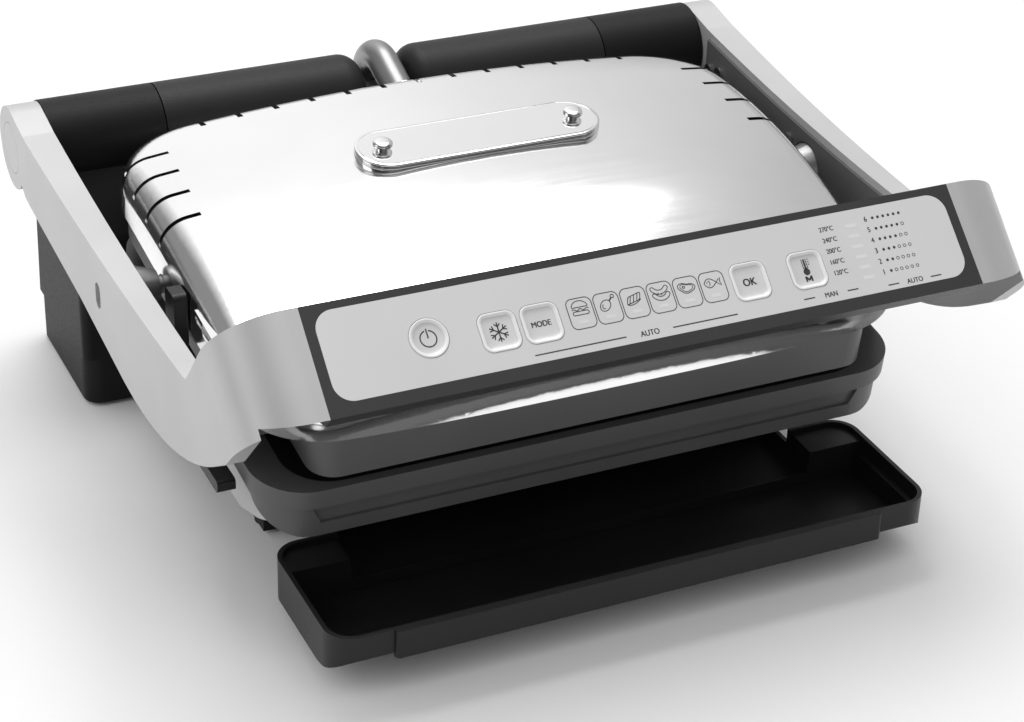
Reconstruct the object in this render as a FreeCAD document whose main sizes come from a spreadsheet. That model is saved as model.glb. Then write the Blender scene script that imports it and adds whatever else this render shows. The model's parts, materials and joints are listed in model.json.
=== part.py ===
import FreeCAD, Part
import math
import os
import Sketcher

# Electric contact grill with a floating lid, a control panel in the handle and a drip tray.
# Millimetres. X runs to the right seen from the front, Y to the back, Z up.
# The origin lies on the worktop, under the middle of the whole grill.

Vector = FreeCAD.Vector
doc = FreeCAD.newDocument("ElectricGrill")

# Driving sizes: name, value in millimetres or degrees, what it measures.
ROWS = [
    ("depth", 345, "handle lip to the back of the towers"),
    ("foot_height", 2, "rubber feet below the housing"),
    ("foot_radius", 5.5, "rubber feet"),
    ("hinge_inset", 40, "hinge axis in front of the back"),
    ("hinge_height", 122, "hinge axis above the worktop"),
    ("shaft_radius", 5, "steel hinge shaft"),
    ("shaft_half", 178, "half length of the hinge shaft"),
    ("running_gap", 0.05, "radial gap of a turning fit"),
    ("seat_gap", 0.3, "gap between pieces that lie in each other"),
    ("barrel_radius", 20, "round barrels over the hinge shaft"),
    ("barrel_wall", 2.5, "barrel cover wall"),
    ("barrel_split", 113.7, "joint between tower and barrel cover"),
    ("barrel_seam", 0.6, "seam between tower and barrel cover"),
    ("barrel_outer", 167.7, "outer end of the barrels"),
    ("barrel_neck", 10.5, "inner end of the barrel covers"),
    ("barrel_shoulder", 10, "rounded shoulder of the barrel covers"),
    ("bush_radius", 9, "hinge bushes"),
    ("bush_length", 18, "hinge bushes"),
    ("tower_half", 165.2, "outer side of the towers"),
    ("tower_front", 92, "front face of the towers"),
    ("tower_shoulder", 85, "height where the tower front leans back"),
    ("tower_back_lean", 5, "how far the upper back edge leans in"),
    ("tower_back_height", 95, "upper back edge of the towers"),
    ("tower_meet", 22, "angle where the tower back meets the barrel, degrees"),
    ("tower_nose", 207, "angle where the tower front meets the barrel, degrees"),
    ("tower_wall", 3, "tower wall"),
    ("tower_round", 4, "rounded outer edges of the towers"),
    ("base_split", 26, "height of the joint between towers and bottom housing"),
    ("bridge_front", 99, "front of the housing between the towers"),
    ("bridge_top", 92, "top of the housing between the towers"),
    ("housing_half", 124, "bottom housing in front of the towers"),
    ("housing_front", 39, "front of the bottom housing in front of the origin"),
    ("housing_wall", 3, "bottom housing walls"),
    ("housing_round", 8, "rounded lower corners of the bottom housing"),
    ("housing_step", 0.6, "bottom housing inside the sides of the towers"),
    ("flange_half", 133, "edge of the housing under the lower shell"),
    ("flange_front", 56, "front of that edge in front of the origin"),
    ("flange_thick", 3, "thickness of that edge"),
    ("tunnel_half", 112.5, "half width of the tray tunnel"),
    ("tunnel_height", 24, "top of the tray tunnel"),
    ("tunnel_rear", 66, "back end of the tray tunnel"),
    ("runner_width", 14, "ledges that carry the tray tongue"),
    ("runner_height", 12, "top of those ledges"),
    ("tilt", 7, "slope of the grill deck to the front, degrees"),
    ("deck_y", -6.5, "middle of the deck"),
    ("deck_z", 84.6, "height of the deck in its middle"),
    ("rim_half", 149.5, "half width of the lower rim"),
    ("rim_front", 111.5, "rim in front of the deck middle"),
    ("rim_rear", 94, "rim behind the deck middle"),
    ("rim_corner", 24, "rim corner radius"),
    ("rim_height", 9, "height of the rim ring"),
    ("rim_lip", 4, "rim wall in front of and behind the plate"),
    ("rim_side", 14, "rim wall beside the plate"),
    ("seat_depth", 5, "depth of the plate seats"),
    ("seat_ledge", 8, "width of the ledges that carry the plates"),
    ("skirt_step", 2.5, "skirt set in under the rim"),
    ("skirt_height", 16.5, "height of the front skirt"),
    ("skirt_side_height", 6.5, "height of the skirt at the sides and the back"),
    ("skirt_bend", 108, "where the skirt starts to rise, in front of the middle"),
    ("skirt_level", 86, "where the skirt reaches its side height, in front of the middle"),
    ("skirt_wall", 2.6, "skirt wall"),
    ("band_half", 129.4, "half length of the recessed front band"),
    ("band_taper", 4.8, "band shorter at its lower edge"),
    ("band_drop", 9, "upper edge of the band below the deck"),
    ("band_height", 10, "height of the recessed front band"),
    ("band_depth", 1.6, "depth of the recessed front band"),
    ("shell_half", 146.2, "half width of the lower shell"),
    ("shell_wall", 2, "lower shell wall"),
    ("shell_front", 105.6, "lower shell in front of the deck middle"),
    ("shell_rear", 88, "lower shell behind the deck middle"),
    ("shell_corner", 24, "lower shell corners"),
    ("shell_nose_drop", 19, "front of the shell keel below the deck"),
    ("shell_keel", 94, "bend of the keel in front of the deck middle"),
    ("shell_keel_drop", 25.5, "bend of the keel below the deck"),
    ("shell_flat", 66, "flat keel starts here, in front of the deck middle"),
    ("shell_floor", 37.5, "flat keel above the worktop"),
    ("plate_gap", 0.7, "play of a plate in its seat"),
    ("plate_thick", 4, "cast plate under its flange"),
    ("plate_flange", 2.5, "thickness of the plate flange"),
    ("plate_corner", 20, "plate corner radius"),
    ("rib_height", 3.2, "ribs above the flange"),
    ("rib_width", 4, "rib width"),
    ("rib_pitch", 20, "rib spacing"),
    ("rib_count", 11, "ribs on each plate"),
    ("rib_margin", 16, "ribs end this far inside the plate"),
    ("spout_radius", 6, "grease spout of the lower plate"),
    ("spout_inset", 97, "spout in front of the deck middle"),
    ("heater_radius", 3.25, "tubular heating element"),
    ("heater_half", 100, "half width of the element loop"),
    ("heater_front", 70, "element loop in front of the middle"),
    ("heater_rear", 72, "element ends behind the middle"),
    ("heater_bend", 22, "bend radius of the element"),
    ("heater_tail", 34, "half distance between the element ends"),
    ("reflector_wall", 1, "heat reflector sheet"),
    ("reflector_half", 112, "half width of the lower reflector"),
    ("reflector_front", 76, "lower reflector in front of the middle"),
    ("reflector_rear", 80, "lower reflector behind the middle"),
    ("reflector_depth", 8, "depth of the lower reflector"),
    ("lid_reflector_depth", 4.5, "depth of the lid's reflector"),
    ("lid_reflector_brim", 3, "lid reflector rests this far on the lid frame"),
    ("lid_gap", 5, "lid frame above the rim"),
    ("lid_half", 151.5, "half width of the steel lid cover"),
    ("lid_front", 114, "lid in front of the deck middle"),
    ("lid_rear", 109.5, "lid behind the deck middle"),
    ("lid_front_corner", 36, "front corner radius of the lid"),
    ("lid_rear_corner", 42, "back corner radius of the lid"),
    ("lid_crest", 60, "crest of the lid above the deck"),
    ("lid_crest_back", 15, "crest behind the deck middle"),
    ("lid_front_sweep", 300, "curve of the lid from the crest to the front"),
    ("lid_rear_sweep", 360, "curve of the lid from the crest to the back"),
    ("lid_crown", 1120, "crown of the lid from side to side"),
    ("lid_sector", 18, "sector that the crown of the lid is turned through, degrees"),
    ("lid_edge", 14, "rounded top edge of the lid"),
    ("lid_wall", 1.2, "steel cover wall"),
    ("lid_side_drop", 12, "lower edge of the cover above the deck"),
    ("cover_cut", 23, "lower edge of the cover above the deck, behind the front corners"),
    ("cover_cut_start", 60, "where that higher edge starts, in front of the deck middle"),
    ("fascia_top", 23.5, "top of the dark front fascia above the deck"),
    ("fascia_half", 129, "half width of the fascia"),
    ("fascia_inset", 3, "fascia behind the front of the cover"),
    ("fascia_corner", 12, "fascia corner radius"),
    ("fascia_step", 84, "where the cover steps up over the fascia"),
    ("fascia_wall", 4, "lid frame walls"),
    ("frame_rear", 97, "lid frame behind the deck middle"),
    ("slot_width", 2.6, "cooling slots"),
    ("slot_reach", 128.5, "inner end of the side slots"),
    ("slot_drift", 1.5, "each side slot further forward starts this much further out"),
    ("slot_pitch", 19.2, "spacing of the side slots"),
    ("slot_first", 77, "first side slot behind the deck middle"),
    ("slot_low", 39, "lower end of the side slots above the deck"),
    ("slot_count", 4, "slots on each side"),
    ("back_slot_count", 13, "slots along the back edge"),
    ("back_slot_pitch", 17.6, "spacing of the back slots"),
    ("back_slot_reach", 96, "front end of the back slots"),
    ("back_slot_low", 31, "lower end of the back slots above the deck"),
    ("badge_half", 58.5, "half length of the blank name plate"),
    ("badge_width", 30, "width of the name plate"),
    ("badge_thick", 3.5, "name plate thickness"),
    ("badge_back", 30, "name plate behind the deck middle"),
    ("stud_reach", 46.2, "studs from the middle"),
    ("stud_radius", 4.5, "dome studs"),
    ("stud_height", 4, "dome studs above the name plate"),
    ("pivot_y", 6, "lid pivot"),
    ("pivot_z", 108.5, "lid pivot height"),
    ("pivot_pin_radius", 4, "lid pivot pin"),
    ("pivot_pin_tip", 142.5, "inner end of the pivot pin"),
    ("boss_radius", 12, "pivot boss at the arm"),
    ("boss_tip_radius", 7, "pivot boss at the lid"),
    ("boss_tip", 154, "end of the pivot boss"),
    ("ear_half", 12, "half width of the pivot ear"),
    ("ear_rise", 8, "pivot ear above the pivot pin"),
    ("ear_inner", 144, "inner side of the pivot ear"),
    ("arm_outer", 182.5, "outer side of the handle arms"),
    ("arm_thick", 14.5, "arm thickness"),
    ("arm_front_outer", 175, "outer side of the arms at the handle lip"),
    ("arm_taper_start", 105, "where the arms start to narrow, behind the origin"),
    ("arm_sweep", 1700, "curve of the upper edge of the arm"),
    ("knuckle_radius", 19.5, "round end of the arm"),
    ("knuckle_cap_radius", 12, "flush cap on the knuckle"),
    ("knuckle_cap_thick", 2, "flush cap on the knuckle"),
    ("arm_crown_reach", 3.6, "where the arm leaves the top of the knuckle, in front of the hinge"),
    ("arm_crown_sink", 0.35, "the same place below the knuckle's top"),
    ("arm_kink_reach", 23, "kink of the arm in front of the hinge"),
    ("arm_kink_rise", 15.5, "kink of the arm above the hinge"),
    ("arm_notch_reach", 19.5, "lower notch in front of the hinge"),
    ("arm_notch_drop", 16, "lower notch below the hinge"),
    ("arm_waist_reach", 100.7, "waist of the arm in front of the hinge"),
    ("arm_waist_height", 94, "waist of the arm above the worktop"),
    ("arm_elbow_inset", 90.7, "elbow of the arm behind the handle lip"),
    ("arm_elbow_height", 71.3, "elbow of the arm above the worktop"),
    ("arm_elbow_radius", 155, "rounding of the elbow"),
    ("chin_inset", 25.5, "chin of the handle ends behind the lip"),
    ("chin_height", 113, "chin of the handle ends above the worktop"),
    ("vee_inset", 68.2, "bottom of the vee behind the handle lip"),
    ("vee_height", 126.8, "bottom of the vee above the worktop"),
    ("liner_thick", 1.5, "dark liner on the inner side of the arm"),
    ("liner_inset", 4, "liner edge inside the arm edge"),
    ("liner_end", 6, "front end of the liner behind the bottom of the vee"),
    ("liner_front_low", 95, "lower front corner of the liner above the worktop"),
    ("liner_dip_inset", 112, "lowest point of the liner behind the handle lip"),
    ("liner_dip", 88.5, "lowest point of the liner above the worktop"),
    ("panel_slope", 41.3, "slope of the control panel, degrees"),
    ("panel_face", 45.3, "height of the panel along its slope"),
    ("panel_low", 140, "lower edge of the panel above the worktop"),
    ("panel_half", 143, "half width of the dark panel frame"),
    ("panel_wall", 3, "panel frame face and walls"),
    ("panel_frame_depth", 8, "depth of the panel frame"),
    ("cap_round", 28, "rounded outer corner of the handle ends"),
    ("heel_up", -1, "heel of the handle, up the slope from its middle"),
    ("heel_depth", 40.4, "heel of the handle below the panel face"),
    ("heel_width", 16.3, "heel to the vee, up the slope"),
    ("back_wall", 2.5, "handle back shell wall"),
    ("grip_half", 60, "half length of the finger recess"),
    ("grip_depth", 1.5, "depth of the finger recess"),
    ("display_half", 138.7, "half width of the display sheet"),
    ("display_height", 36.8, "height of the display sheet"),
    ("display_up", 1, "display sheet above the middle of the panel"),
    ("display_corner", 8, "corner radius of the display sheet"),
    ("display_thick", 0.8, "display sheet"),
    ("key_size", 16, "square keys and the round power key"),
    ("key_corner", 4, "key corner radius"),
    ("key_travel", 0.8, "key travel"),
    ("key_recess", 0.3, "key face below the display"),
    ("key_rim", 0.8, "retaining rim of a key"),
    ("key_rim_thick", 1.2, "retaining rim of a key"),
    ("key_fit", 0.2, "gap around a key"),
    ("key_line", -2, "row of keys, up the slope from the panel middle"),
    ("power_x", -96.5, "power key"),
    ("power_line", 0.9, "power key, up the slope"),
    ("defrost_x", -68.2, "defrost key"),
    ("mode_x", -50.4, "mode key"),
    ("confirm_x", 41.2, "confirm key"),
    ("manual_x", 67.3, "manual key"),
    ("mat_thick", 1.2, "rubber key mat"),
    ("board_thick", 1.6, "control board"),
    ("board_half", 112, "half length of the control board"),
    ("board_width", 30, "width of the control board"),
    ("post_x", 126, "screw posts of the panel"),
    ("post_radius", 4, "screw posts of the panel"),
    ("post_line", 6, "screw posts, up the slope"),
    ("lamp_width", 5, "light guides"),
    ("lamp_height", 2.4, "light guides"),
    ("lamp_count", 6, "programme lights and level lights"),
    ("lamp_first_x", -33.3, "first programme light"),
    ("lamp_pitch", 11.62, "spacing of the programme lights"),
    ("lamp_line", -9.5, "row of programme lights, up the slope"),
    ("level_x", 93.1, "column of level lights"),
    ("level_first", 12.6, "top level light, up the slope"),
    ("level_pitch", 4.56, "spacing of the level lights"),
    ("tray_half", 139.2, "half width of the drip tray"),
    ("tray_front", 163.2, "front wall of the pulled tray in front of the origin"),
    ("tray_trough", 73.9, "trough length, front to back"),
    ("tray_rim", 30.1, "top of the tray"),
    ("tray_bottom", 10, "underside of the trough"),
    ("tray_wall", 2, "tray wall"),
    ("tray_corner", 12, "tray corner radius"),
    ("tray_hull_height", 19, "where the hull shape of the tray's front starts"),
    ("tray_hull_run", 22, "length of the hull shape, front to back"),
    ("tray_hull_curve", 30, "curve of the hull shape"),
    ("tray_ledge_height", 23, "inner ledge of the tray"),
    ("tray_ledge_width", 3, "inner ledge of the tray"),
    ("tongue_half", 111.4, "half width of the tray tongue"),
    ("tongue_length", 85, "tongue behind the trough"),
    ("tongue_lap", 18.8, "tongue floor in front of the back of the trough"),
    ("tongue_block_drop", 2, "corner blocks beside the tongue below the rim"),
    ("tongue_bead", 17, "bead at the front of the tongue floor"),
    ("tongue_wall_top", 22.5, "top of the tongue walls"),
    ("grip_bar_half", 113, "half length of the tray grip"),
    ("grip_bar_depth", 2.2, "tray grip in front of the wall"),
    ("grip_bar_low", 17, "underside of the tray grip"),
    ("tube_radius", 7.5, "conduit tube"),
    ("tube_bore", 5.5, "bore of the conduit tube"),
    ("tube_sweep", 17, "bend of the conduit about the hinge"),
    ("tube_rise", 110, "angle where the bend meets the straight run, degrees"),
    ("tube_tail", -35, "end of the conduit behind the hinge, degrees"),
    ("tube_run", 35, "straight run of the conduit into the lid"),
    ("collar_radius", 10.5, "collar where the conduit enters the lid"),
    ("collar_length", 3, "collar where the conduit enters the lid"),
    ("lever_thick", 8, "lower release lever"),
    ("lever_front", 81, "lower release lever, tip in front of the origin"),
    ("lever_rear", 45, "lower release lever, back end in front of the origin"),
    ("lever_low", 55.5, "underside of the lower release lever"),
    ("lever_high", 61, "top of the lower release lever"),
    ("lever_nose_radius", 1.5, "rounded tip of the lower release lever"),
    ("lever_pin_radius", 2.5, "pins of the release levers"),
    ("tab_y", -25, "upper release tab"),
    ("tab_width", 12, "upper release tab, front to back"),
    ("tab_thick", 6, "upper release tab"),
    ("tab_low", 97, "lower end of the upper release tab"),
    ("tab_high", 122, "upper end of the upper release tab"),
    ("latch_back", 27, "slotted latch bar in front of the deck middle"),
    ("latch_length", 30, "slotted latch bar"),
    ("latch_low", 33, "slotted latch bar above the deck"),
    ("latch_height", 6, "slotted latch bar"),
    ("latch_thick", 0.5, "slotted latch bar outside the lid's side"),
    ("latch_seat", 9, "slotted latch bar over the rounded edge of the lid"),
    ("screw_radius", 1.6, "screw shanks"),
    ("screw_head_radius", 3.2, "screw heads"),
    ("screw_head", 1.5, "screw head height"),
    ("sensor_width", 14, "thickness sensor"),
    ("sensor_height", 16, "thickness sensor"),
    ("sensor_radius", 5, "temperature sensors"),
    ("sensor_length", 16, "temperature sensors"),
    ("sensor_along", 20, "temperature sensors behind the deck middle"),
    ("power_board_half", 60, "half length of the power board"),
    ("power_board_depth", 50, "power board, front to back"),
    ("inlet_x", 60, "cable inlet"),
    ("inlet_z", 15, "height of the cable inlet"),
    ("inlet_radius", 6, "cable inlet"),
    ("pivot_screw_radius", 2, "lid pivot screw"),
    ("pivot_head_radius", 3, "head of the lid pivot screw"),
    ("pivot_recess", 5, "depth of the oval recess over the pivot screw"),
    ("pivot_recess_half", 3.2, "half width of that recess"),
    ("pivot_recess_rise", 6, "half height of that recess"),
    ("liner_screw_depth", 6, "liner screws in the arm"),
    ("liner_screw_first", 30.5, "liner screws in front of the hinge"),
    ("liner_screw_second", 40.5, "liner screws in front of the hinge"),
    ("liner_screw_third", 110.5, "liner screws in front of the hinge"),
    ("liner_screw_high", 119, "height of the back liner screws"),
    ("liner_screw_low", 116, "height of the front liner screw"),
    ("post_length", 24, "screw posts behind the panel face"),
    ("lid_pin_room", 0.5, "cover hole around the pivot pin"),
    ("badge_sink", 1, "name plate lies this far under the crest"),
    ("collar_start", 23.4, "collar in front of the conduit's bend"),
    ("lever_hole_inner", 136, "inner end of the lever's pin hole"),
    ("lever_pin_inset", 6, "pin of the lower release lever"),
    ("lever_pin_length", 5, "pin of the upper release tab"),
    ("reflector_space", 2, "room between element and reflector"),
]


class Size:
    """A number and the sheet expression that gives it."""

    def __init__(self, number, text):
        self.number = number
        self.text = text

    def __float__(self):
        return float(self.number)

    def __add__(self, other):
        other = as_size(other)
        return Size(self.number + other.number, f"({self.text} + {other.text})")

    def __sub__(self, other):
        other = as_size(other)
        return Size(self.number - other.number, f"({self.text} - {other.text})")

    def __mul__(self, other):
        other = as_size(other)
        return Size(self.number * other.number, f"({self.text} * {other.text})")

    def __truediv__(self, other):
        other = as_size(other)
        return Size(self.number / other.number, f"({self.text} / {other.text})")

    def __neg__(self):
        return Size(-self.number, f"(0 - {self.text})")

    def __radd__(self, other):
        return as_size(other) + self

    def __rsub__(self, other):
        return as_size(other) - self

    def __rmul__(self, other):
        return as_size(other) * self


def as_size(value):
    """A plain number becomes a size that does not depend on the sheet."""
    return value if isinstance(value, Size) else Size(float(value), f"{float(value):.6f}")


def sine(angle):
    return Size(math.sin(math.radians(angle.number)), f"sin({angle.text} * 1 deg)")


def cosine(angle):
    return Size(math.cos(math.radians(angle.number)), f"cos({angle.text} * 1 deg)")


class Sheet:
    """The spreadsheet of driving sizes; each alias is an attribute that holds a Size."""

    def __init__(self, rows):
        cells = doc.addObject("Spreadsheet::Sheet", "Sizes")
        for number, (alias, value, note) in enumerate(rows, start=1):
            cells.set(f"A{number}", alias)
            cells.set(f"B{number}", str(value))
            cells.set(f"C{number}", note)
            cells.setAlias(f"B{number}", alias)
            setattr(self, alias, Size(float(value), f"Sizes.{alias}"))


s = Sheet(ROWS)
doc.recompute()

nodes = []


# Frames: points of the sloping deck and of the control panel in grill coordinates.
HINGE_Y = s.depth / 2 - s.hinge_inset
HINGE_Z = s.hinge_height
FRONT = -(s.depth / 2)
BACK = s.depth / 2


def deck_point(along, above):
    """(y, z) of a point of the deck, measured along its slope and square to it."""
    y = s.deck_y + along * cosine(s.tilt) - above * sine(s.tilt)
    z = s.deck_z + along * sine(s.tilt) + above * cosine(s.tilt)
    return y, z


PANEL_Y = FRONT + s.panel_face / 2 * cosine(s.panel_slope)
PANEL_Z = s.panel_low + s.panel_face / 2 * sine(s.panel_slope)


def panel_point(up, out):
    """(y, z) of a point of the panel, measured up its slope and out of its face."""
    y = PANEL_Y + up * cosine(s.panel_slope) - out * sine(s.panel_slope)
    z = PANEL_Z + up * sine(s.panel_slope) + out * cosine(s.panel_slope)
    return y, z


def place(item, y, z, slope=None, x=0):
    """Bind an object's place, and its slope about X, to the sheet."""
    if slope is not None:
        item.Placement = FreeCAD.Placement(Vector(), FreeCAD.Rotation(Vector(1, 0, 0), float(slope)))
        item.setExpression("Placement.Rotation.Angle", slope.text)
    item.setExpression("Placement.Base.x", as_size(x).text)
    item.setExpression("Placement.Base.y", as_size(y).text)
    item.setExpression("Placement.Base.z", as_size(z).text)
    return item


def on_deck(item):
    return place(item, s.deck_y, s.deck_z, s.tilt)


def on_panel(item):
    return place(item, PANEL_Y, PANEL_Z, s.panel_slope)


def body(label):
    made = doc.addObject("PartDesign::Body", label)
    made.Label = label
    return made


def node(item):
    """Keep an object as one named piece of the grill."""
    nodes.append(item)
    return item


# Sketches: closed outlines whose corners are bound to the sheet.
PLANES = {"XY": "XY_Plane", "YZ": "YZ_Plane", "XZ": "XZ_Plane"}


def new_sketch(owner, plane, lift):
    made = owner.newObject("Sketcher::SketchObject", "Outline")
    support = [item for item in owner.Origin.OriginFeatures if item.Role == PLANES[plane]][0]
    made.AttachmentSupport = [(support, "")]
    made.MapMode = "FlatFace"
    made.setExpression("AttachmentOffset.Base.z", as_size(lift).text)
    return made


def turn_of(before, here, after):
    """Unit directions into and out of a corner, and the signed turn between them."""
    into = (here - before).normalize()
    out = (after - here).normalize()
    turn = math.atan2(into.x * out.y - into.y * out.x, into.x * out.x + into.y * out.y)
    return into, out, turn


def arc_between(start, end, radius, left):
    """Arc of a circle from start to end; with left, it turns to the left."""
    chord = end - start
    half = chord.Length / 2
    rise = math.sqrt(max(radius * radius - half * half, 0.0))
    side = Vector(-chord.y, chord.x, 0).normalize()
    centre = start + chord * 0.5 + side * (rise if left else -rise)
    first, last = (start, end) if left else (end, start)
    angles = [math.atan2(p.y - centre.y, p.x - centre.x) for p in (first, last)]
    circle = Part.Circle(centre, Vector(0, 0, 1), radius)
    return Part.ArcOfCircle(circle, angles[0], angles[1])


class Outline:
    """Draws one closed outline in a sketch, with rounded corners and arc edges."""

    def __init__(self, sketch):
        self.sketch = sketch

    def bind(self, kind, *where):
        """Add a dimension and bind it to the size that comes last."""
        size = where[-1]
        rule = Sketcher.Constraint(kind, *where[:-1], float(size))
        index = self.sketch.addConstraint(rule)
        self.sketch.setExpression(f"Constraints[{index}]", size.text)

    def pin(self, item, end, corner):
        self.bind("DistanceX", -1, 1, item, end, corner[0])
        self.bind("DistanceY", -1, 1, item, end, corner[1])

    def draw(self, corners, rounds=None, arcs=None):
        rounds = rounds or {}
        arcs = arcs or {}
        corners = [(as_size(a), as_size(b)) for a, b in corners]
        count = len(corners)
        spots = [Vector(float(a), float(b), 0) for a, b in corners]
        starts = list(spots)
        ends = list(spots)
        bends = {}
        for i, radius in rounds.items():
            into, out, turn = turn_of(spots[i - 1], spots[i], spots[(i + 1) % count])
            reach = float(radius) * math.tan(abs(turn) / 2)
            ends[i] = spots[i] - into * reach
            starts[i] = spots[i] + out * reach
            bends[i] = turn > 0
        edges = []
        for i in range(count):
            j = (i + 1) % count
            if i in arcs:
                radius, left = arcs[i]
                edges.append(self.sketch.addGeometry(arc_between(starts[i], ends[j], float(radius), left)))
            else:
                edges.append(self.sketch.addGeometry(Part.LineSegment(starts[i], ends[j])))
        tail = {i: (2 if i not in arcs or arcs[i][1] else 1) for i in range(count)}
        head = {i: 3 - tail[i] for i in range(count)}
        for i in range(count):
            before = (i - 1) % count
            if i in rounds:
                self.round_corner(corners[i], spots[i], ends[i], starts[i], rounds[i], bends[i],
                                  edges[before], tail[before], edges[i], head[i])
            else:
                rule = Sketcher.Constraint("Coincident", edges[before], tail[before], edges[i], head[i])
                self.sketch.addConstraint(rule)
                self.pin(edges[i], head[i], corners[i])
        for i, (radius, left) in arcs.items():
            self.bind("Radius", edges[i], radius)

    def round_corner(self, corner, spot, end, start, radius, left, edge_in, tail, edge_out, head):
        """A tangent arc, with the sharp corner kept as a bound construction point."""
        bend = self.sketch.addGeometry(arc_between(end, start, float(radius), left))
        first, last = (1, 2) if left else (2, 1)
        self.sketch.addConstraint(Sketcher.Constraint("Tangent", edge_in, tail, bend, first))
        self.sketch.addConstraint(Sketcher.Constraint("Tangent", bend, last, edge_out, head))
        mark = self.sketch.addGeometry(Part.Point(spot), True)
        self.sketch.addConstraint(Sketcher.Constraint("PointOnObject", mark, 1, edge_in))
        self.sketch.addConstraint(Sketcher.Constraint("PointOnObject", mark, 1, edge_out))
        self.pin(mark, 1, corner)
        self.bind("Radius", bend, as_size(radius))

    def ring(self, centre, radius):
        circle = Part.Circle(Vector(float(centre[0]), float(centre[1]), 0), Vector(0, 0, 1), float(radius))
        index = self.sketch.addGeometry(circle)
        self.pin(index, 3, (as_size(centre[0]), as_size(centre[1])))
        self.bind("Radius", index, as_size(radius))


def outlined(owner, plane, low, shapes):
    """A sketch at low along the plane's positive axis; shapes are outlines or circles."""
    lift = -as_size(low) if plane == "XZ" else as_size(low)
    made = new_sketch(owner, plane, lift)
    pen = Outline(made)
    for shape in shapes:
        if "ring" in shape:
            pen.ring(*shape["ring"])
        else:
            pen.draw(**shape)
    return made


def feature(owner, kind, sketch, length, backwards):
    made = owner.newObject(kind, kind.split("::")[1])
    made.Profile = sketch
    made.setExpression("Length", as_size(length).text)
    made.Reversed = backwards
    sketch.Visibility = False
    return made


def pad(owner, plane, low, length, *shapes):
    """Add material from low, along the positive axis of the plane."""
    sketch = outlined(owner, plane, low, shapes)
    return feature(owner, "PartDesign::Pad", sketch, length, plane == "XZ")


def pocket(owner, plane, low, length, *shapes):
    """Cut material from low, along the positive axis of the plane."""
    sketch = outlined(owner, plane, low, shapes)
    return feature(owner, "PartDesign::Pocket", sketch, length, plane != "XZ")


def rect(left, right, low, high, corner=None, radii=None):
    """A rectangle; radii gives each corner's own radius, anticlockwise from left low."""
    corners = [(left, low), (right, low), (right, high), (left, high)]
    if corner is not None:
        radii = [corner] * 4
    rounds = {i: as_size(r) for i, r in enumerate(radii or []) if r is not None}
    return {"corners": corners, "rounds": rounds}


def wide(half, low, high, corner=None, radii=None):
    """A rectangle centred on X."""
    return rect(-half, half, low, high, corner, radii)


def round_edges(owner, radius, test):
    """Round the edges of the body so far that pass the test."""
    doc.recompute()
    base = owner.Tip
    names = [f"Edge{i}" for i, edge in enumerate(base.Shape.Edges, start=1) if test(edge)]
    made = owner.newObject("PartDesign::Fillet", "Fillet")
    made.Base = (base, names)
    made.setExpression("Radius", as_size(radius).text)
    return made


def repeat(owner, original, axis_role, length, count):
    """A row of copies of one feature along an origin axis of the body."""
    doc.recompute()
    made = owner.newObject("PartDesign::LinearPattern", "Row")
    made.Originals = [original]
    axis = [item for item in owner.Origin.OriginFeatures if item.Role == axis_role][0]
    made.Direction = (axis, [""])
    made.setExpression("Length", as_size(length).text)
    made.setExpression("Occurrences", as_size(count).text)
    owner.Tip = made
    return made


# Solids built from primitives.
def box(label, x, y, z, length, width, height):
    made = doc.addObject("Part::Box", label)
    for name, value in (("Length", length), ("Width", width), ("Height", height)):
        made.setExpression(name, as_size(value).text)
    return place(made, y, z, x=x)


def rod(label, radius, low, length, y, z):
    """A cylinder along X."""
    made = doc.addObject("Part::Cylinder", label)
    made.setExpression("Radius", as_size(radius).text)
    made.setExpression("Height", as_size(length).text)
    made.Placement = FreeCAD.Placement(Vector(), FreeCAD.Rotation(Vector(0, 1, 0), 90))
    made.setExpression("Placement.Base.x", as_size(low).text)
    made.setExpression("Placement.Base.y", as_size(y).text)
    made.setExpression("Placement.Base.z", as_size(z).text)
    return made


def post(label, radius, height, x, y, z):
    """A cylinder along Z."""
    made = doc.addObject("Part::Cylinder", label)
    made.setExpression("Radius", as_size(radius).text)
    made.setExpression("Height", as_size(height).text)
    return place(made, y, z, x=x)


def joined(label, parts):
    made = doc.addObject("Part::MultiFuse", label)
    made.Shapes = parts
    return made


def group(label, parts):
    made = doc.addObject("Part::Compound", label)
    made.Links = parts
    return made


def without(label, base, tool):
    made = doc.addObject("Part::Cut", label)
    made.Base = base
    made.Tool = tool
    return made


# The outer ends of a piece that exists left and right.
SIDES = (("left", -1), ("right", 1))


def span(side, inner, outer):
    """Where a side piece starts along X, and its length."""
    inner = as_size(inner)
    outer = as_size(outer)
    return (inner if side > 0 else -outer), outer - inner


def ring(y, z, radius):
    return {"ring": ((y, z), radius)}


def deck_outline(half, front, rear, corner, rear_corner=None):
    """A rounded rectangle on the deck."""
    rear_corner = corner if rear_corner is None else rear_corner
    return wide(half, -as_size(front), rear, radii=[corner, corner, rear_corner, rear_corner])


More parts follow.
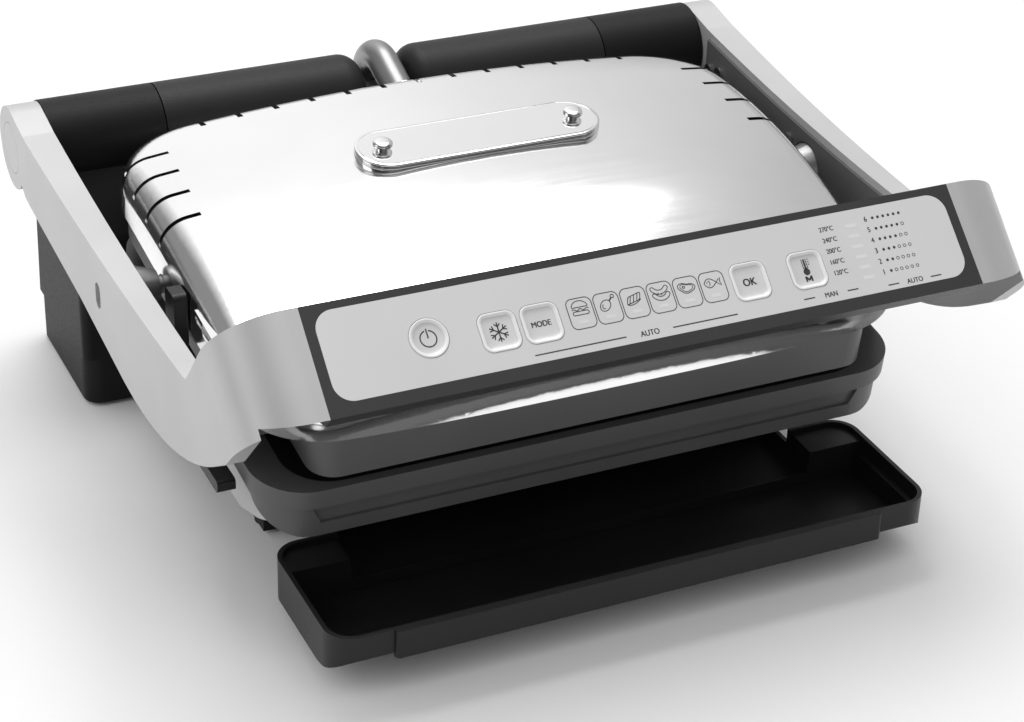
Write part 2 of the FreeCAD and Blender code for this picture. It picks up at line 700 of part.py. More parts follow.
# Sizes that several pieces share.
SHAFT_HOLE = s.shaft_radius + s.running_gap
SEAT_HALF = s.rim_half - s.rim_side
SEAT_FRONT = s.rim_front - s.rim_lip
SEAT_REAR = s.rim_rear - s.rim_lip
PLATE_HALF = SEAT_HALF - s.plate_gap
PLATE_FRONT = SEAT_FRONT - s.plate_gap
PLATE_REAR = SEAT_REAR - s.plate_gap
UPPER_HALF = s.fascia_half - s.fascia_wall - s.plate_gap
UPPER_FRONT = s.lid_front - s.fascia_inset - s.fascia_wall - s.plate_gap
UPPER_REAR = s.frame_rear - s.fascia_wall - s.plate_gap
HEATER_DROP = s.seat_depth + s.plate_thick + s.seat_gap + s.heater_radius
LID_SEAT = s.lid_gap + s.seat_depth
LID_LEDGE = s.seat_ledge - s.plate_gap
LEVER_PIVOT = (-s.lever_rear - s.lever_pin_inset, (s.lever_low + s.lever_high) / 2)
TAB_PIVOT = (s.tab_low + s.tab_high) / 2
REFLECTOR_LOW = -HEATER_DROP - s.heater_radius - s.reflector_space - s.reflector_wall
UPPER_HEATER_RISE = LID_SEAT + s.plate_thick + s.seat_gap + s.heater_radius
ARM_INNER = s.arm_outer - s.arm_thick
LINER_INNER = ARM_INNER - s.liner_thick
TRAY_REAR = s.tray_trough - s.tray_front


def deck_height(along, height):
    """Distance above the deck, on the deck's normal, of a point at a given world height."""
    return (height - s.deck_z - along * sine(s.tilt)) / cosine(s.tilt)


def deck_coords(y, z):
    """Deck coordinates (along, above) of a point given in grill coordinates."""
    y = y - s.deck_y
    z = z - s.deck_z
    return y * cosine(s.tilt) + z * sine(s.tilt), z * cosine(s.tilt) - y * sine(s.tilt)


def lever_hole(made):
    """The hole in the left side for the pin of the lower release lever."""
    low, length = span(-1, s.lever_hole_inner, s.rim_half)
    along, above = deck_coords(*LEVER_PIVOT)
    pocket(made, "YZ", low, length, ring(along, above, s.lever_pin_radius + s.running_gap))


# Base.
def lower_rim():
    made = on_deck(body("lower_rim"))
    pad(made, "XY", -s.rim_height, s.rim_height, deck_outline(s.rim_half, s.rim_front, s.rim_rear, s.rim_corner))
    seat = deck_outline(SEAT_HALF, SEAT_FRONT, SEAT_REAR, s.plate_corner + s.plate_gap)
    pocket(made, "XY", -s.seat_depth, s.seat_depth + 1, seat)
    hole = deck_outline(SEAT_HALF - s.seat_ledge, SEAT_FRONT - s.seat_ledge, SEAT_REAR - s.seat_ledge,
                        s.plate_corner - s.seat_ledge / 2)
    pocket(made, "XY", -s.rim_height - 1, s.rim_height + 1, hole)
    return node(made)


def lower_skirt():
    made = on_deck(body("lower_skirt"))
    half = s.rim_half - s.skirt_step
    front = s.rim_front - s.skirt_step
    rear = s.rim_rear - s.skirt_step
    corner = s.rim_corner - s.skirt_step
    low = -s.rim_height - s.skirt_height
    pad(made, "XY", low, s.skirt_height, deck_outline(half, front, rear, corner),
        deck_outline(half - s.skirt_wall, front - s.skirt_wall, rear - s.skirt_wall, corner - s.skirt_wall))
    side_low = -s.rim_height - s.skirt_side_height
    rising = {"corners": [(-s.skirt_bend, low), (-s.skirt_bend, low - 5), (rear + 1, low - 5), (rear + 1, side_low),
                          (-s.skirt_level, side_low)]}
    pocket(made, "YZ", -half - 1, (half + 1) * 2, rising)
    top = -s.band_drop
    bottom = top - s.band_height
    short = s.band_half - s.band_taper
    band = {"corners": [(-short, bottom), (short, bottom), (s.band_half, top), (-s.band_half, top)]}
    pocket(made, "XZ", -front - 1, s.band_depth + 1, band)
    return node(made)


def lower_shell():
    made = on_deck(body("lower_shell"))
    rear_keel = deck_height(s.shell_rear, s.shell_floor)
    flat_keel = deck_height(-s.shell_flat, s.shell_floor)
    top = -s.rim_height - s.seat_gap
    low = rear_keel - 1
    pad(made, "XY", low, top - low, deck_outline(s.shell_half - s.skirt_step, s.shell_front, s.shell_rear,
                                                s.shell_corner - s.skirt_step))
    out = 5
    keel = {"corners": [(-s.shell_front - out, low - out), (s.shell_rear + out, low - out),
                        (s.shell_rear + out, deck_height(s.shell_rear + out, s.shell_floor)),
                        (-s.shell_flat, flat_keel), (-s.shell_keel, -s.shell_keel_drop),
                        (-s.shell_front, -s.shell_nose_drop), (-s.shell_front - out, -s.shell_nose_drop)]}
    pocket(made, "YZ", -s.shell_half - out, (s.shell_half + out) * 2, keel)
    inner = s.shell_half - s.skirt_step - s.shell_wall
    room_front = s.shell_front - s.shell_corner
    wall = s.shell_wall
    room = {"corners": [(-room_front, top + 1), (-room_front, flat_keel + wall * 6), (-s.shell_flat, flat_keel + wall),
                        (s.shell_rear - wall, rear_keel + wall), (s.shell_rear - wall, top + 1)]}
    pocket(made, "YZ", -inner, inner * 2, room)
    nose = inner - s.shell_corner + wall
    bow = {"corners": [(-room_front + 1, top + 1), (-s.shell_front + wall, top + 1),
                       (-s.shell_front + wall, -s.shell_nose_drop + wall),
                       (-room_front + 1, -s.shell_nose_drop + wall)]}
    pocket(made, "YZ", -nose, nose * 2, bow)
    pocket(made, "XY", low, -low, ring(0, -s.spout_inset, s.spout_radius))
    lever_hole(made)
    return node(made)


def bottom_housing():
    made = body("bottom_housing")
    bottom = s.foot_height
    top = s.shell_floor
    wall = s.housing_wall
    pad(made, "XY", bottom, top - bottom, wide(s.housing_half, -s.housing_front, s.tower_front))
    pad(made, "XY", top - s.flange_thick, s.flange_thick,
        wide(s.flange_half, -s.flange_front, s.tower_front - 1, radii=[14, 14, 4, 4]))
    pad(made, "XY", bottom, s.base_split - bottom,
        wide(s.tower_half - s.housing_step, s.tower_front, BACK - s.housing_step, corner=s.housing_round))
    tunnel_front = -s.flange_front - 1
    pocket(made, "XY", bottom - 1, s.tunnel_height - bottom + 1, wide(s.tunnel_half, tunnel_front, s.tunnel_rear))
    for side in (-1, 1):
        low, length = span(side, s.tunnel_half - s.runner_width, s.tunnel_half + 1)
        pad(made, "XY", bottom, s.runner_height - bottom,
            rect(low, low + length, -s.housing_front, s.tunnel_rear + 1))
    pocket(made, "XY", s.tunnel_height + wall, top, wide(s.tunnel_half - wall, wall - s.housing_front, s.tunnel_rear))
    pocket(made, "XY", bottom + wall, top, wide(s.housing_half - wall, s.tunnel_rear + wall, s.tower_front - wall))
    pocket(made, "XY", bottom + wall, top,
           wide(s.tower_half - wall, s.tower_front + wall, BACK - wall, corner=s.housing_round - wall))
    pocket(made, "XZ", BACK - wall - 1, wall + 2, ring(s.inlet_x, s.inlet_z, s.inlet_radius))
    return node(made)


def around_hinge(angle, radius):
    """(y, z) of a point at an angle and a distance from the hinge axis."""
    return HINGE_Y + radius * cosine(angle), HINGE_Z + radius * sine(angle)


def tower(side, name):
    made = body(f"{name}_tower")
    meet = around_hinge(s.tower_meet, s.barrel_radius)
    nose = around_hinge(s.tower_nose, s.barrel_radius)
    outline = {"corners": [(s.tower_front, s.base_split), (BACK, s.base_split),
                           (BACK - s.tower_back_lean, s.tower_back_height), meet, (HINGE_Y, HINGE_Z), nose,
                           (s.tower_front, s.tower_shoulder)],
               "rounds": {6: 12}}
    low, length = span(side, s.barrel_split, s.tower_half)
    pad(made, "YZ", low, length, outline)
    outer = float(s.tower_half) * side
    low_back = float(s.tower_back_height) + 1

    def outer_edge(edge):
        box = edge.BoundBox
        return abs(box.XMin - outer) < 0.01 and box.XLength < 0.01 and box.ZMax < low_back and box.ZLength > 1

    round_edges(made, s.tower_round, outer_edge)
    low, length = span(side, s.barrel_split, s.barrel_outer)
    pad(made, "YZ", low, length, ring(HINGE_Y, HINGE_Z, s.barrel_radius))
    wall = s.tower_wall
    room = {"corners": [(s.tower_front + wall, s.base_split - 1), (BACK - wall, s.base_split - 1),
                        (BACK - wall - s.tower_back_lean, s.tower_back_height - wall),
                        (HINGE_Y, HINGE_Z - s.barrel_radius - 1), (s.tower_front + wall, s.tower_shoulder - wall)]}
    low, length = span(side, s.barrel_split + wall, s.tower_half - wall)
    pocket(made, "YZ", low, length, room)
    low, length = span(side, s.barrel_split - 1, s.barrel_outer + 1)
    pocket(made, "YZ", low, length, ring(HINGE_Y, HINGE_Z, s.bush_radius))
    return node(made)


def barrel_cover(side, name):
    made = body(f"{name}_barrel_cover")
    low, length = span(side, s.barrel_neck, s.barrel_split - s.barrel_seam)
    pad(made, "YZ", low, length, ring(HINGE_Y, HINGE_Z, s.barrel_radius))
    inner = float(s.barrel_neck) * side
    round_edges(made, s.barrel_shoulder, lambda edge: abs(edge.BoundBox.XMin - inner) < 0.01
                and edge.BoundBox.XLength < 0.01)
    low, length = span(side, s.barrel_neck + s.barrel_shoulder + s.barrel_wall, s.barrel_split + 1)
    pocket(made, "YZ", low, length, ring(HINGE_Y, HINGE_Z, s.barrel_radius - s.barrel_wall))
    low, length = span(side, s.barrel_neck - 1, s.barrel_split + 1)
    pocket(made, "YZ", low, length, ring(HINGE_Y, HINGE_Z, SHAFT_HOLE))
    return node(made)


def rear_bridge():
    made = body("rear_bridge")
    bottom = s.base_split
    wall = s.housing_wall
    half = s.barrel_split - s.seat_gap / 3
    pad(made, "XY", bottom, s.bridge_top - bottom, wide(half, s.bridge_front, BACK - s.tower_back_lean))
    pocket(made, "XY", bottom - 1, s.bridge_top - bottom - wall + 1,
           wide(half - wall, s.bridge_front + wall, BACK - s.tower_back_lean - wall))
    return node(made)


def hinge_shaft():
    return node(rod("hinge_shaft", s.shaft_radius, -s.shaft_half, s.shaft_half * 2, HINGE_Y, HINGE_Z))


def hinge_bushes():
    parts = []
    for name, side in SIDES:
        for end, inner in (("outer", s.barrel_outer - s.bush_length), ("inner", s.barrel_split)):
            low, length = span(side, inner, inner + s.bush_length)
            sleeve = rod(f"bush_{name}_{end}", s.bush_radius, low, length, HINGE_Y, HINGE_Z)
            bore = rod(f"bush_bore_{name}_{end}", SHAFT_HOLE, low - 1, length + 2, HINGE_Y, HINGE_Z)
            parts.append(without(f"bush_ring_{name}_{end}", sleeve, bore))
    return node(group("hinge_bushes", parts))


def thickness_sensor():
    """A small potentiometer under the left barrel, in the tower."""
    x = -s.barrel_split - s.tower_wall - s.sensor_width
    top = HINGE_Z - s.barrel_radius - s.tower_wall * 2
    made = box("thickness_sensor", x, HINGE_Y - s.sensor_width / 2, top - s.sensor_height, s.sensor_width,
               s.sensor_width, s.sensor_height)
    return node(made)


def tube_between(points, bends, radius):
    """A round tube along straight runs and tangent arcs in one plane; points are vectors."""
    edges = []
    start = points[0]
    for i in range(1, len(points) - 1):
        into = (points[i] - points[i - 1]).normalize()
        out = (points[i + 1] - points[i]).normalize()
        turn = into.getAngle(out)
        reach = bends[i - 1] * math.tan(turn / 2)
        bend_start = points[i] - into * reach
        bend_end = points[i] + out * reach
        middle_way = (out - into).normalize()
        middle = points[i] + middle_way * (bends[i - 1] / math.cos(turn / 2) - bends[i - 1])
        edges.append(Part.LineSegment(start, bend_start).toShape())
        edges.append(Part.Arc(bend_start, middle, bend_end).toShape())
        start = bend_end
    edges.append(Part.LineSegment(start, points[-1]).toShape())
    section = Part.Wire(Part.makeCircle(radius, points[0], points[1] - points[0]))
    return Part.Wire(edges).makePipeShell([section], True, True)


def heater(label, height):
    """A U-shaped tubular heating element under or over a cooking plate."""
    half = float(s.heater_half)
    front = -float(s.heater_front)
    rear = float(s.heater_rear)
    tail = float(s.heater_tail)
    inner = rear - 2 * float(s.heater_bend)
    high = float(height)
    corners = [(-tail, rear), (-tail, inner), (-half, inner), (-half, front), (half, front), (half, inner),
               (tail, inner), (tail, rear)]
    points = [Vector(x, y, high) for x, y in corners]
    bends = [float(s.heater_bend)] * 6
    made = doc.addObject("Part::Feature", label)
    made.Shape = tube_between(points, bends, float(s.heater_radius))
    return node(on_deck(made))


def reflector(label, low, depth, half, front, rear, up):
    """A shallow sheet pan behind a heating element; up is true for the lid's."""
    made = on_deck(body(label))
    wall = s.reflector_wall
    pad(made, "XY", low, depth, deck_outline(half, front, rear, 10))
    inner_low = low - 1 if up else low + wall
    pocket(made, "XY", inner_low, depth - wall + 1, deck_outline(half - wall, front - wall, rear - wall, 10 - wall))
    pocket(made, "XY", low - 1, depth + 2, ring(0, s.sensor_along, s.sensor_radius + s.seat_gap))
    return node(made)


def plate(label, half, front, rear, seat, up):
    """A ribbed cooking plate; its flange lies on the seat and its ribs point up or down."""
    made = on_deck(body(label))
    inner_half = half - s.seat_ledge
    inner_front = front - s.seat_ledge
    inner_rear = rear - s.seat_ledge
    ribs = s.rib_height
    if up:
        flange_low, body_low, rib_low = seat, seat - s.plate_thick, seat + s.plate_flange
    else:
        flange_low, body_low, rib_low = seat - s.plate_flange, seat, seat - s.plate_flange - ribs
    pad(made, "XY", flange_low, s.plate_flange, deck_outline(half, front, rear, s.plate_corner))
    pad(made, "XY", body_low, s.plate_thick,
        deck_outline(inner_half, inner_front, inner_rear, s.plate_corner - s.seat_ledge / 2))
    first = -(s.rib_count - 1) / 2 * s.rib_pitch
    rib = pad(made, "XY", rib_low, ribs,
              rect(first - s.rib_width / 2, first + s.rib_width / 2, -front + s.rib_margin, rear - s.rib_margin,
                   corner=s.rib_width / 2 - 0.1))
    repeat(made, rib, "X_Axis", (s.rib_count - 1) * s.rib_pitch, s.rib_count)
    return made


def lower_plate():
    made = plate("lower_plate", PLATE_HALF, PLATE_FRONT, PLATE_REAR, -s.seat_depth, True)
    pocket(made, "XY", -s.seat_depth - s.plate_thick - 1, s.plate_thick + s.seat_depth + 2,
           ring(0, -s.spout_inset, s.spout_radius))
    return node(made)


def sensor(label, low):
    """A temperature sensor that touches a cooking plate through its reflector."""
    made = doc.addObject("Part::Cylinder", label)
    made.setExpression("Radius", s.sensor_radius.text)
    made.setExpression("Height", s.sensor_length.text)
    y, z = deck_point(s.sensor_along, low)
    return node(place(made, y, z, s.tilt))


def power_board():
    low = s.foot_height + s.housing_wall
    made = box("board_sheet", -s.power_board_half, s.tower_front + s.housing_wall + 6, low + 5,
               s.power_board_half * 2, s.power_board_depth, 1.6)
    posts = []
    for x in (-1, 1):
        for y in (0, 1):
            posts.append(post("board_post", 2, 5, x * (s.power_board_half - 5),
                              s.tower_front + s.housing_wall + 11 + y * (s.power_board_depth - 10), low))
    return node(joined("power_board", [made] + posts))


def cable_inlet():
    """The gland in the back wall where the mains cord would enter."""
    made = body("cable_inlet")
    y = BACK - s.housing_wall
    z = s.inlet_z
    pad(made, "XZ", y - 6, s.housing_wall + 6, ring(s.inlet_x, z, s.inlet_radius - s.seat_gap / 2))
    pad(made, "XZ", y - 8, 7.5, ring(s.inlet_x, z, s.inlet_radius + 2))
    pocket(made, "XZ", y - 9, s.housing_wall + 12, ring(s.inlet_x, z, s.inlet_radius - 2.5))
    return node(made)


def feet():
    spots = []
    for side in (-1, 1):
        spots.append((side * (s.tower_half - 20), BACK - 22))
        spots.append((side * (s.tunnel_half + s.housing_half) / 2, -s.housing_front + 12))
    parts = [post("foot", s.foot_radius, s.foot_height, x, y, 0) for x, y in spots]
    return node(group("feet", parts))


# Handle.
VEE = (FRONT + s.vee_inset, s.vee_height)
KINK = (HINGE_Y - s.arm_kink_reach, HINGE_Z + s.arm_kink_rise)
PANEL_TOP = panel_point(s.panel_face / 2, 0)
LIP = (FRONT, s.panel_low)
CHIN = (FRONT + s.chin_inset, s.chin_height)
HEEL = panel_point(s.heel_up, -s.heel_depth)


def arm_side(y):
    """Outer side of the narrowing arms at a place from front to back."""
    return s.arm_outer - (s.arm_outer - s.arm_front_outer) * (s.arm_taper_start - y) / (s.arm_taper_start - FRONT)


def arm(side, name):
    made = body(f"{name}_arm")
    elbow = (FRONT + s.arm_elbow_inset, s.arm_elbow_height)
    waist = (HINGE_Y - s.arm_waist_reach, s.arm_waist_height)
    notch = (HINGE_Y - s.arm_notch_reach, HINGE_Z - s.arm_notch_drop)
    crown = (HINGE_Y - s.arm_crown_reach, HINGE_Z + s.knuckle_radius - s.arm_crown_sink)
    outline = {"corners": [(HINGE_Y, HINGE_Z), crown, KINK, VEE, PANEL_TOP, LIP, CHIN, elbow, waist, notch],
               "rounds": {2: as_size(8), 3: as_size(5), 7: s.arm_elbow_radius},
               "arcs": {2: (s.arm_sweep, False)}}
    low, length = span(side, ARM_INNER, s.arm_outer)
    pad(made, "YZ", low, length, outline)
    low, length = span(side, s.panel_half, ARM_INNER + 1)
    pad(made, "YZ", low, length, {"corners": [VEE, PANEL_TOP, LIP, CHIN, HEEL]})
    taper = [(side * s.arm_outer, s.arm_taper_start), (side * (s.arm_outer + 1), s.arm_taper_start),
             (side * (s.arm_outer + 1), FRONT - 1), (side * arm_side(FRONT - 1), FRONT - 1)]
    pocket(made, "XY", 0, PANEL_TOP[1] + 1, {"corners": taper})
    front_edge = [Vector(float(arm_side(p[0])) * side, float(p[0]), float(p[1])) for p in (PANEL_TOP, LIP)]

    def on_front(edge):
        return all(min((vertex.Point - p).Length for p in front_edge) < 0.05 for vertex in edge.Vertexes)

    round_edges(made, s.cap_round, on_front)
    low, length = span(side, s.panel_half - 1, ARM_INNER)
    under = CHIN[1] - 10
    pocket(made, "YZ", low, length,
           {"corners": [(FRONT - 1, under), (HEEL[0], under), HEEL, LIP, (FRONT - 1, s.panel_low)]})
    low, length = span(side, ARM_INNER, s.arm_outer)
    pad(made, "YZ", low, length, ring(HINGE_Y, HINGE_Z, s.knuckle_radius))
    low, length = span(side, s.arm_outer - s.knuckle_cap_thick, s.arm_outer + 1)
    pocket(made, "YZ", low, length, ring(HINGE_Y, HINGE_Z, s.knuckle_cap_radius))
    low, length = span(side, ARM_INNER - 1, s.shaft_half + 0.5)
    pocket(made, "YZ", low, length, ring(HINGE_Y, HINGE_Z, SHAFT_HOLE))
    low, length = span(side, ARM_INNER - 1, s.arm_outer + 1)
    pocket(made, "YZ", low, length, ring(s.pivot_y, s.pivot_z, s.pivot_screw_radius))
    low, length = span(side, PIVOT_SEAT, s.arm_outer + 1)
    pocket(made, "YZ", low, length,
           rect(s.pivot_y - s.pivot_recess_half, s.pivot_y + s.pivot_recess_half, s.pivot_z - s.pivot_recess_rise,
                s.pivot_z + s.pivot_recess_rise, corner=s.pivot_recess_half - 0.05))
    low, length = span(side, ARM_INNER - 1, ARM_INNER + s.liner_screw_depth)
    pocket(made, "YZ", low, length, *[ring(y, z, s.screw_radius) for y, z in LINER_SCREWS])
    return node(made)


PIVOT_SEAT = arm_side(s.pivot_y) - s.pivot_recess
LINER_SCREWS = [(HINGE_Y - s.liner_screw_first, s.liner_screw_high),
                (HINGE_Y - s.liner_screw_second, s.liner_screw_high + 2),
                (HINGE_Y - s.liner_screw_third, s.liner_screw_low)]


def arm_liner(side, name):
    made = body(f"{name}_arm_liner")
    low, length = span(side, LINER_INNER, ARM_INNER)
    inset = s.liner_inset
    waist = (HINGE_Y - s.arm_waist_reach, s.arm_waist_height + inset)
    rear_low = (HINGE_Y - s.arm_kink_reach - 3, HINGE_Z - s.arm_notch_drop + inset)
    rear_high = (HINGE_Y - s.arm_kink_reach - 3, HINGE_Z + s.arm_kink_rise - inset)
    front_high = (VEE[0] + s.liner_end, s.vee_height - inset)
    front_low = (VEE[0] + s.liner_end, s.liner_front_low)
    dip = (FRONT + s.liner_dip_inset, s.liner_dip)
    outline = {"corners": [rear_high, front_high, front_low, dip, waist, rear_low],
               "arcs": {0: (s.arm_sweep, False)}}
    pad(made, "YZ", low, length, outline)
    for_boss = ring(s.pivot_y, s.pivot_z, s.boss_radius)
    pocket(made, "YZ", low - 1, length + 2, for_boss)
    pocket(made, "YZ", low - 1, length + 2, *[ring(y, z, s.screw_radius) for y, z in LINER_SCREWS])
    return node(made)


def hinge_caps():
    parts = []
    for name, side in SIDES:
        low, length = span(side, s.arm_outer - s.knuckle_cap_thick, s.arm_outer)
        parts.append(rod(f"cap_{name}", s.knuckle_cap_radius - s.seat_gap / 2, low, length, HINGE_Y, HINGE_Z))
    return node(group("hinge_caps", parts))


def pivot_bosses():
    """A tapered boss on each arm; its pin carries the lid."""
    parts = []
    for name, side in SIDES:
        cone = doc.addObject("Part::Cone", f"boss_cone_{name}")
        cone.setExpression("Radius1", (s.boss_radius - s.seat_gap / 2).text)
        cone.setExpression("Radius2", s.boss_tip_radius.text)
        cone.setExpression("Height", (ARM_INNER - s.boss_tip).text)
        turn = FreeCAD.Rotation(Vector(0, 1, 0), -90 * side)
        cone.Placement = FreeCAD.Placement(Vector(), turn)
        place(cone, s.pivot_y, s.pivot_z, x=ARM_INNER * side)
        low, length = span(side, s.pivot_pin_tip, s.boss_tip + 1)
        pin = rod(f"boss_pin_{name}", s.pivot_pin_radius, low, length, s.pivot_y, s.pivot_z)
        low, length = span(side, s.boss_tip + 4, ARM_INNER + 1)
        hole = rod(f"boss_hole_{name}", s.pivot_screw_radius, low, length, s.pivot_y, s.pivot_z)
        parts.append(without(f"boss_{name}", joined(f"boss_body_{name}", [cone, pin]), hole))
    return node(group("pivot_bosses", parts))


def headed_screw(label, side, y, z, tip, neck, head_radius, head, radius):
    """A screw along X with its head outwards; neck is where the head starts."""
    low, length = span(side, tip, neck)
    shank = rod(f"{label}_shank", radius, low, length, y, z)
    low, length = span(side, neck, neck + head)
    cap = rod(f"{label}_head", head_radius, low, length, y, z)
    return joined(label, [shank, cap])


def pivot_screws():
    parts = []
    for name, side in SIDES:
        parts.append(headed_screw(f"pivot_screw_{name}", side, s.pivot_y, s.pivot_z, s.boss_tip + 4, PIVOT_SEAT,
                                  s.pivot_head_radius, s.screw_head * 2, s.pivot_screw_radius))
    return node(group("pivot_screws", parts))


def liner_screws():
    parts = []
    for name, side in SIDES:
        for number, (y, z) in enumerate(LINER_SCREWS):
            low, length = span(side, LINER_INNER, ARM_INNER + s.liner_screw_depth)
            shank = rod(f"liner_shank_{name}_{number}", s.screw_radius, low, length, y, z)
            low, length = span(side, LINER_INNER - s.screw_head, LINER_INNER)
            head = rod(f"liner_head_{name}_{number}", s.screw_head_radius, low, length, y, z)
            parts.append(joined(f"liner_screw_{name}_{number}", [shank, head]))
    return node(group("liner_screws", parts))


KEYS = (("power", s.power_x, s.power_line), ("defrost", s.defrost_x, s.key_line), ("mode", s.mode_x, s.key_line),
        ("ok", s.confirm_x, s.key_line), ("manual", s.manual_x, s.key_line))
FACE_BACK = -s.display_thick - s.panel_wall
RIM_TOP = FACE_BACK - 0.1
RIM_BOTTOM = RIM_TOP - s.key_rim_thick
MAT_TOP = RIM_BOTTOM - s.key_travel - 0.2


def key_shape(name, x, line, grow):
    """Outline of a key: the power key is round, the others are square."""
    half = s.key_size / 2 + grow
    if name == "power":
        return {"ring": ((x, line), half)}
    return rect(x - half, x + half, line - half, line + half, corner=s.key_corner + grow)


def lamp_spots():
    """Middles of the light guides on the panel."""
    spots = [(s.lamp_first_x + i * s.lamp_pitch, s.lamp_line) for i in range(int(s.lamp_count.number))]
    spots += [(s.level_x, s.level_first - i * s.level_pitch) for i in range(int(s.lamp_count.number))]
    return spots


def lamp_shape(x, line, grow):
    width = s.lamp_width / 2 + grow
    height = s.lamp_height / 2 + grow
    return rect(x - width, x + width, line - height, line + height)


def panel_frame():
    made = on_panel(body("panel_frame"))
    half = s.panel_face / 2
    pad(made, "XY", -s.panel_frame_depth, s.panel_frame_depth, wide(s.panel_half, -half, half))
    recess = s.display_height / 2 + s.seat_gap / 2
    pocket(made, "XY", -s.display_thick, s.display_thick + 1,
           wide(s.display_half + s.seat_gap / 2, s.display_up - recess, s.display_up + recess, corner=s.display_corner))
    inner = half - s.panel_wall
    pocket(made, "XY", -s.panel_frame_depth - 1, s.panel_frame_depth + 1 + FACE_BACK,
           wide(s.panel_half - s.panel_wall, -inner, inner))
    holes = [key_shape(name, x, line, s.key_fit) for name, x, line in KEYS]
    holes += [lamp_shape(x, line, s.key_fit / 2) for x, line in lamp_spots()]
    pocket(made, "XY", FACE_BACK - 1, s.panel_wall + 2, *holes)
    for x in (-s.post_x, s.post_x):
        tall = s.post_length
        pad(made, "XY", FACE_BACK - tall, tall + 0.5, ring(x, s.post_line, s.post_radius),
            ring(x, s.post_line, s.screw_radius))
    return node(made)


def panel_back():
    made = on_panel(body("panel_back"))
    low = -s.panel_frame_depth
    half = s.panel_face / 2
    top_edge = half - (half - s.heel_up - s.heel_width) * s.panel_frame_depth / s.heel_depth
    wall = s.back_wall
    outline = {"corners": [(-half, low), (s.heel_up, -s.heel_depth), (s.heel_up + s.heel_width, -s.heel_depth + 1.7),
                           (top_edge, low)], "rounds": {1: as_size(2.5), 2: as_size(2)}}
    pad(made, "YZ", -s.panel_half, s.panel_half * 2, outline)
    room = {"corners": [(-half + wall * 1.8, low + 1), (-half + wall * 1.8, low),
                        (s.heel_up + wall / 2, -s.heel_depth + wall * 1.3),
                        (s.heel_up + s.heel_width - wall, -s.heel_depth + wall + 1.7), (top_edge - wall, low),
                        (top_edge - wall, low + 1)]}
    pocket(made, "YZ", -s.panel_half + wall, (s.panel_half - wall) * 2, room)
    run = s.heel_up + half
    drop = s.heel_depth - s.panel_frame_depth
    dent = s.grip_depth
    start = 0.2
    stop = 0.8
    spots = [(-half + run * start, low - drop * start), (-half + run * stop, low - drop * stop)]
    shallow = {"corners": [(spots[0][0] - 4, spots[0][1] - 1), (spots[1][0] - 4, spots[1][1] - 3),
                           (spots[1][0] + dent / 2, spots[1][1] + dent / 2),
                           (spots[0][0] + dent / 2, spots[0][1] + dent / 2)]}
    pocket(made, "YZ", -s.grip_half, s.grip_half * 2, shallow)
    for x in (-s.post_x, s.post_x):
        pocket(made, "XY", -s.heel_depth - 1, s.heel_depth - s.panel_frame_depth, ring(x, s.post_line, s.screw_radius))
    return node(made)


def panel_screws():
    parts = []
    for x in (-s.post_x, s.post_x):
        made = on_panel(body("panel_screw"))
        low = -s.heel_depth - s.screw_head + s.seat_gap
        pad(made, "XY", low + s.screw_head, s.heel_depth - s.panel_frame_depth, ring(x, s.post_line, s.screw_radius))
        pad(made, "XY", low, s.screw_head, ring(x, s.post_line, s.screw_head_radius))
        parts.append(made)
    return node(group("panel_screws", parts))


def display_sheet():
    made = on_panel(body("display_sheet"))
    half = s.display_height / 2
    pad(made, "XY", -s.display_thick, s.display_thick,
        wide(s.display_half, s.display_up - half, s.display_up + half, corner=s.display_corner))
    pocket(made, "XY", -s.display_thick - 1, s.display_thick + 2,
           *[key_shape(name, x, line, s.key_fit) for name, x, line in KEYS])
    return node(made)


def key(name, x, line):
    made = on_panel(body(f"{name}_button"))
    pad(made, "XY", RIM_BOTTOM, -s.key_recess - RIM_BOTTOM, key_shape(name, x, line, as_size(0)))
    pad(made, "XY", RIM_BOTTOM, s.key_rim_thick, key_shape(name, x, line, s.key_rim))
    return node(made)


def keypad_mat():
    made = on_panel(body("keypad_mat"))
    half = s.board_width / 2
    pad(made, "XY", MAT_TOP - s.mat_thick, s.mat_thick, wide(s.board_half, -half, half, corner=3))
    pocket(made, "XY", MAT_TOP - s.mat_thick - 1, s.mat_thick + 2,
           *[lamp_shape(x, line, s.key_fit / 2) for x, line in lamp_spots()])
    return node(made)


def control_board():
    made = on_panel(body("control_board"))
    half = s.board_width / 2
    pad(made, "XY", MAT_TOP - s.mat_thick - s.board_thick, s.board_thick, wide(s.board_half, -half, half))
    return node(made)


def light_guides():
    made = []
    low = MAT_TOP - s.mat_thick
    for number, (x, line) in enumerate(lamp_spots()):
        one = on_panel(body(f"light_{number}"))
        pad(one, "XY", low, -s.display_thick - low, lamp_shape(x, line, as_size(0)))
        made.append(one)
    return node(group("light_guides", made))


# Lid.
def deck_box(label, x, along, above, length, width, height):
    """A box square to the deck, placed in the deck's own coordinates."""
    made = doc.addObject("Part::Box", label)
    for name, value in (("Length", length), ("Width", width), ("Height", height)):
        made.setExpression(name, as_size(value).text)
    y, z = deck_point(as_size(along), as_size(above))
    return place(made, y, z, s.tilt, x)


def lid_drop(reach, radius):
    """How far an arc falls from its crest over a distance."""
    number = radius.number - math.sqrt(radius.number ** 2 - reach.number ** 2)
    return Size(number, f"({radius.text} - sqrt({radius.text} ^ 2 - {reach.text} ^ 2))")


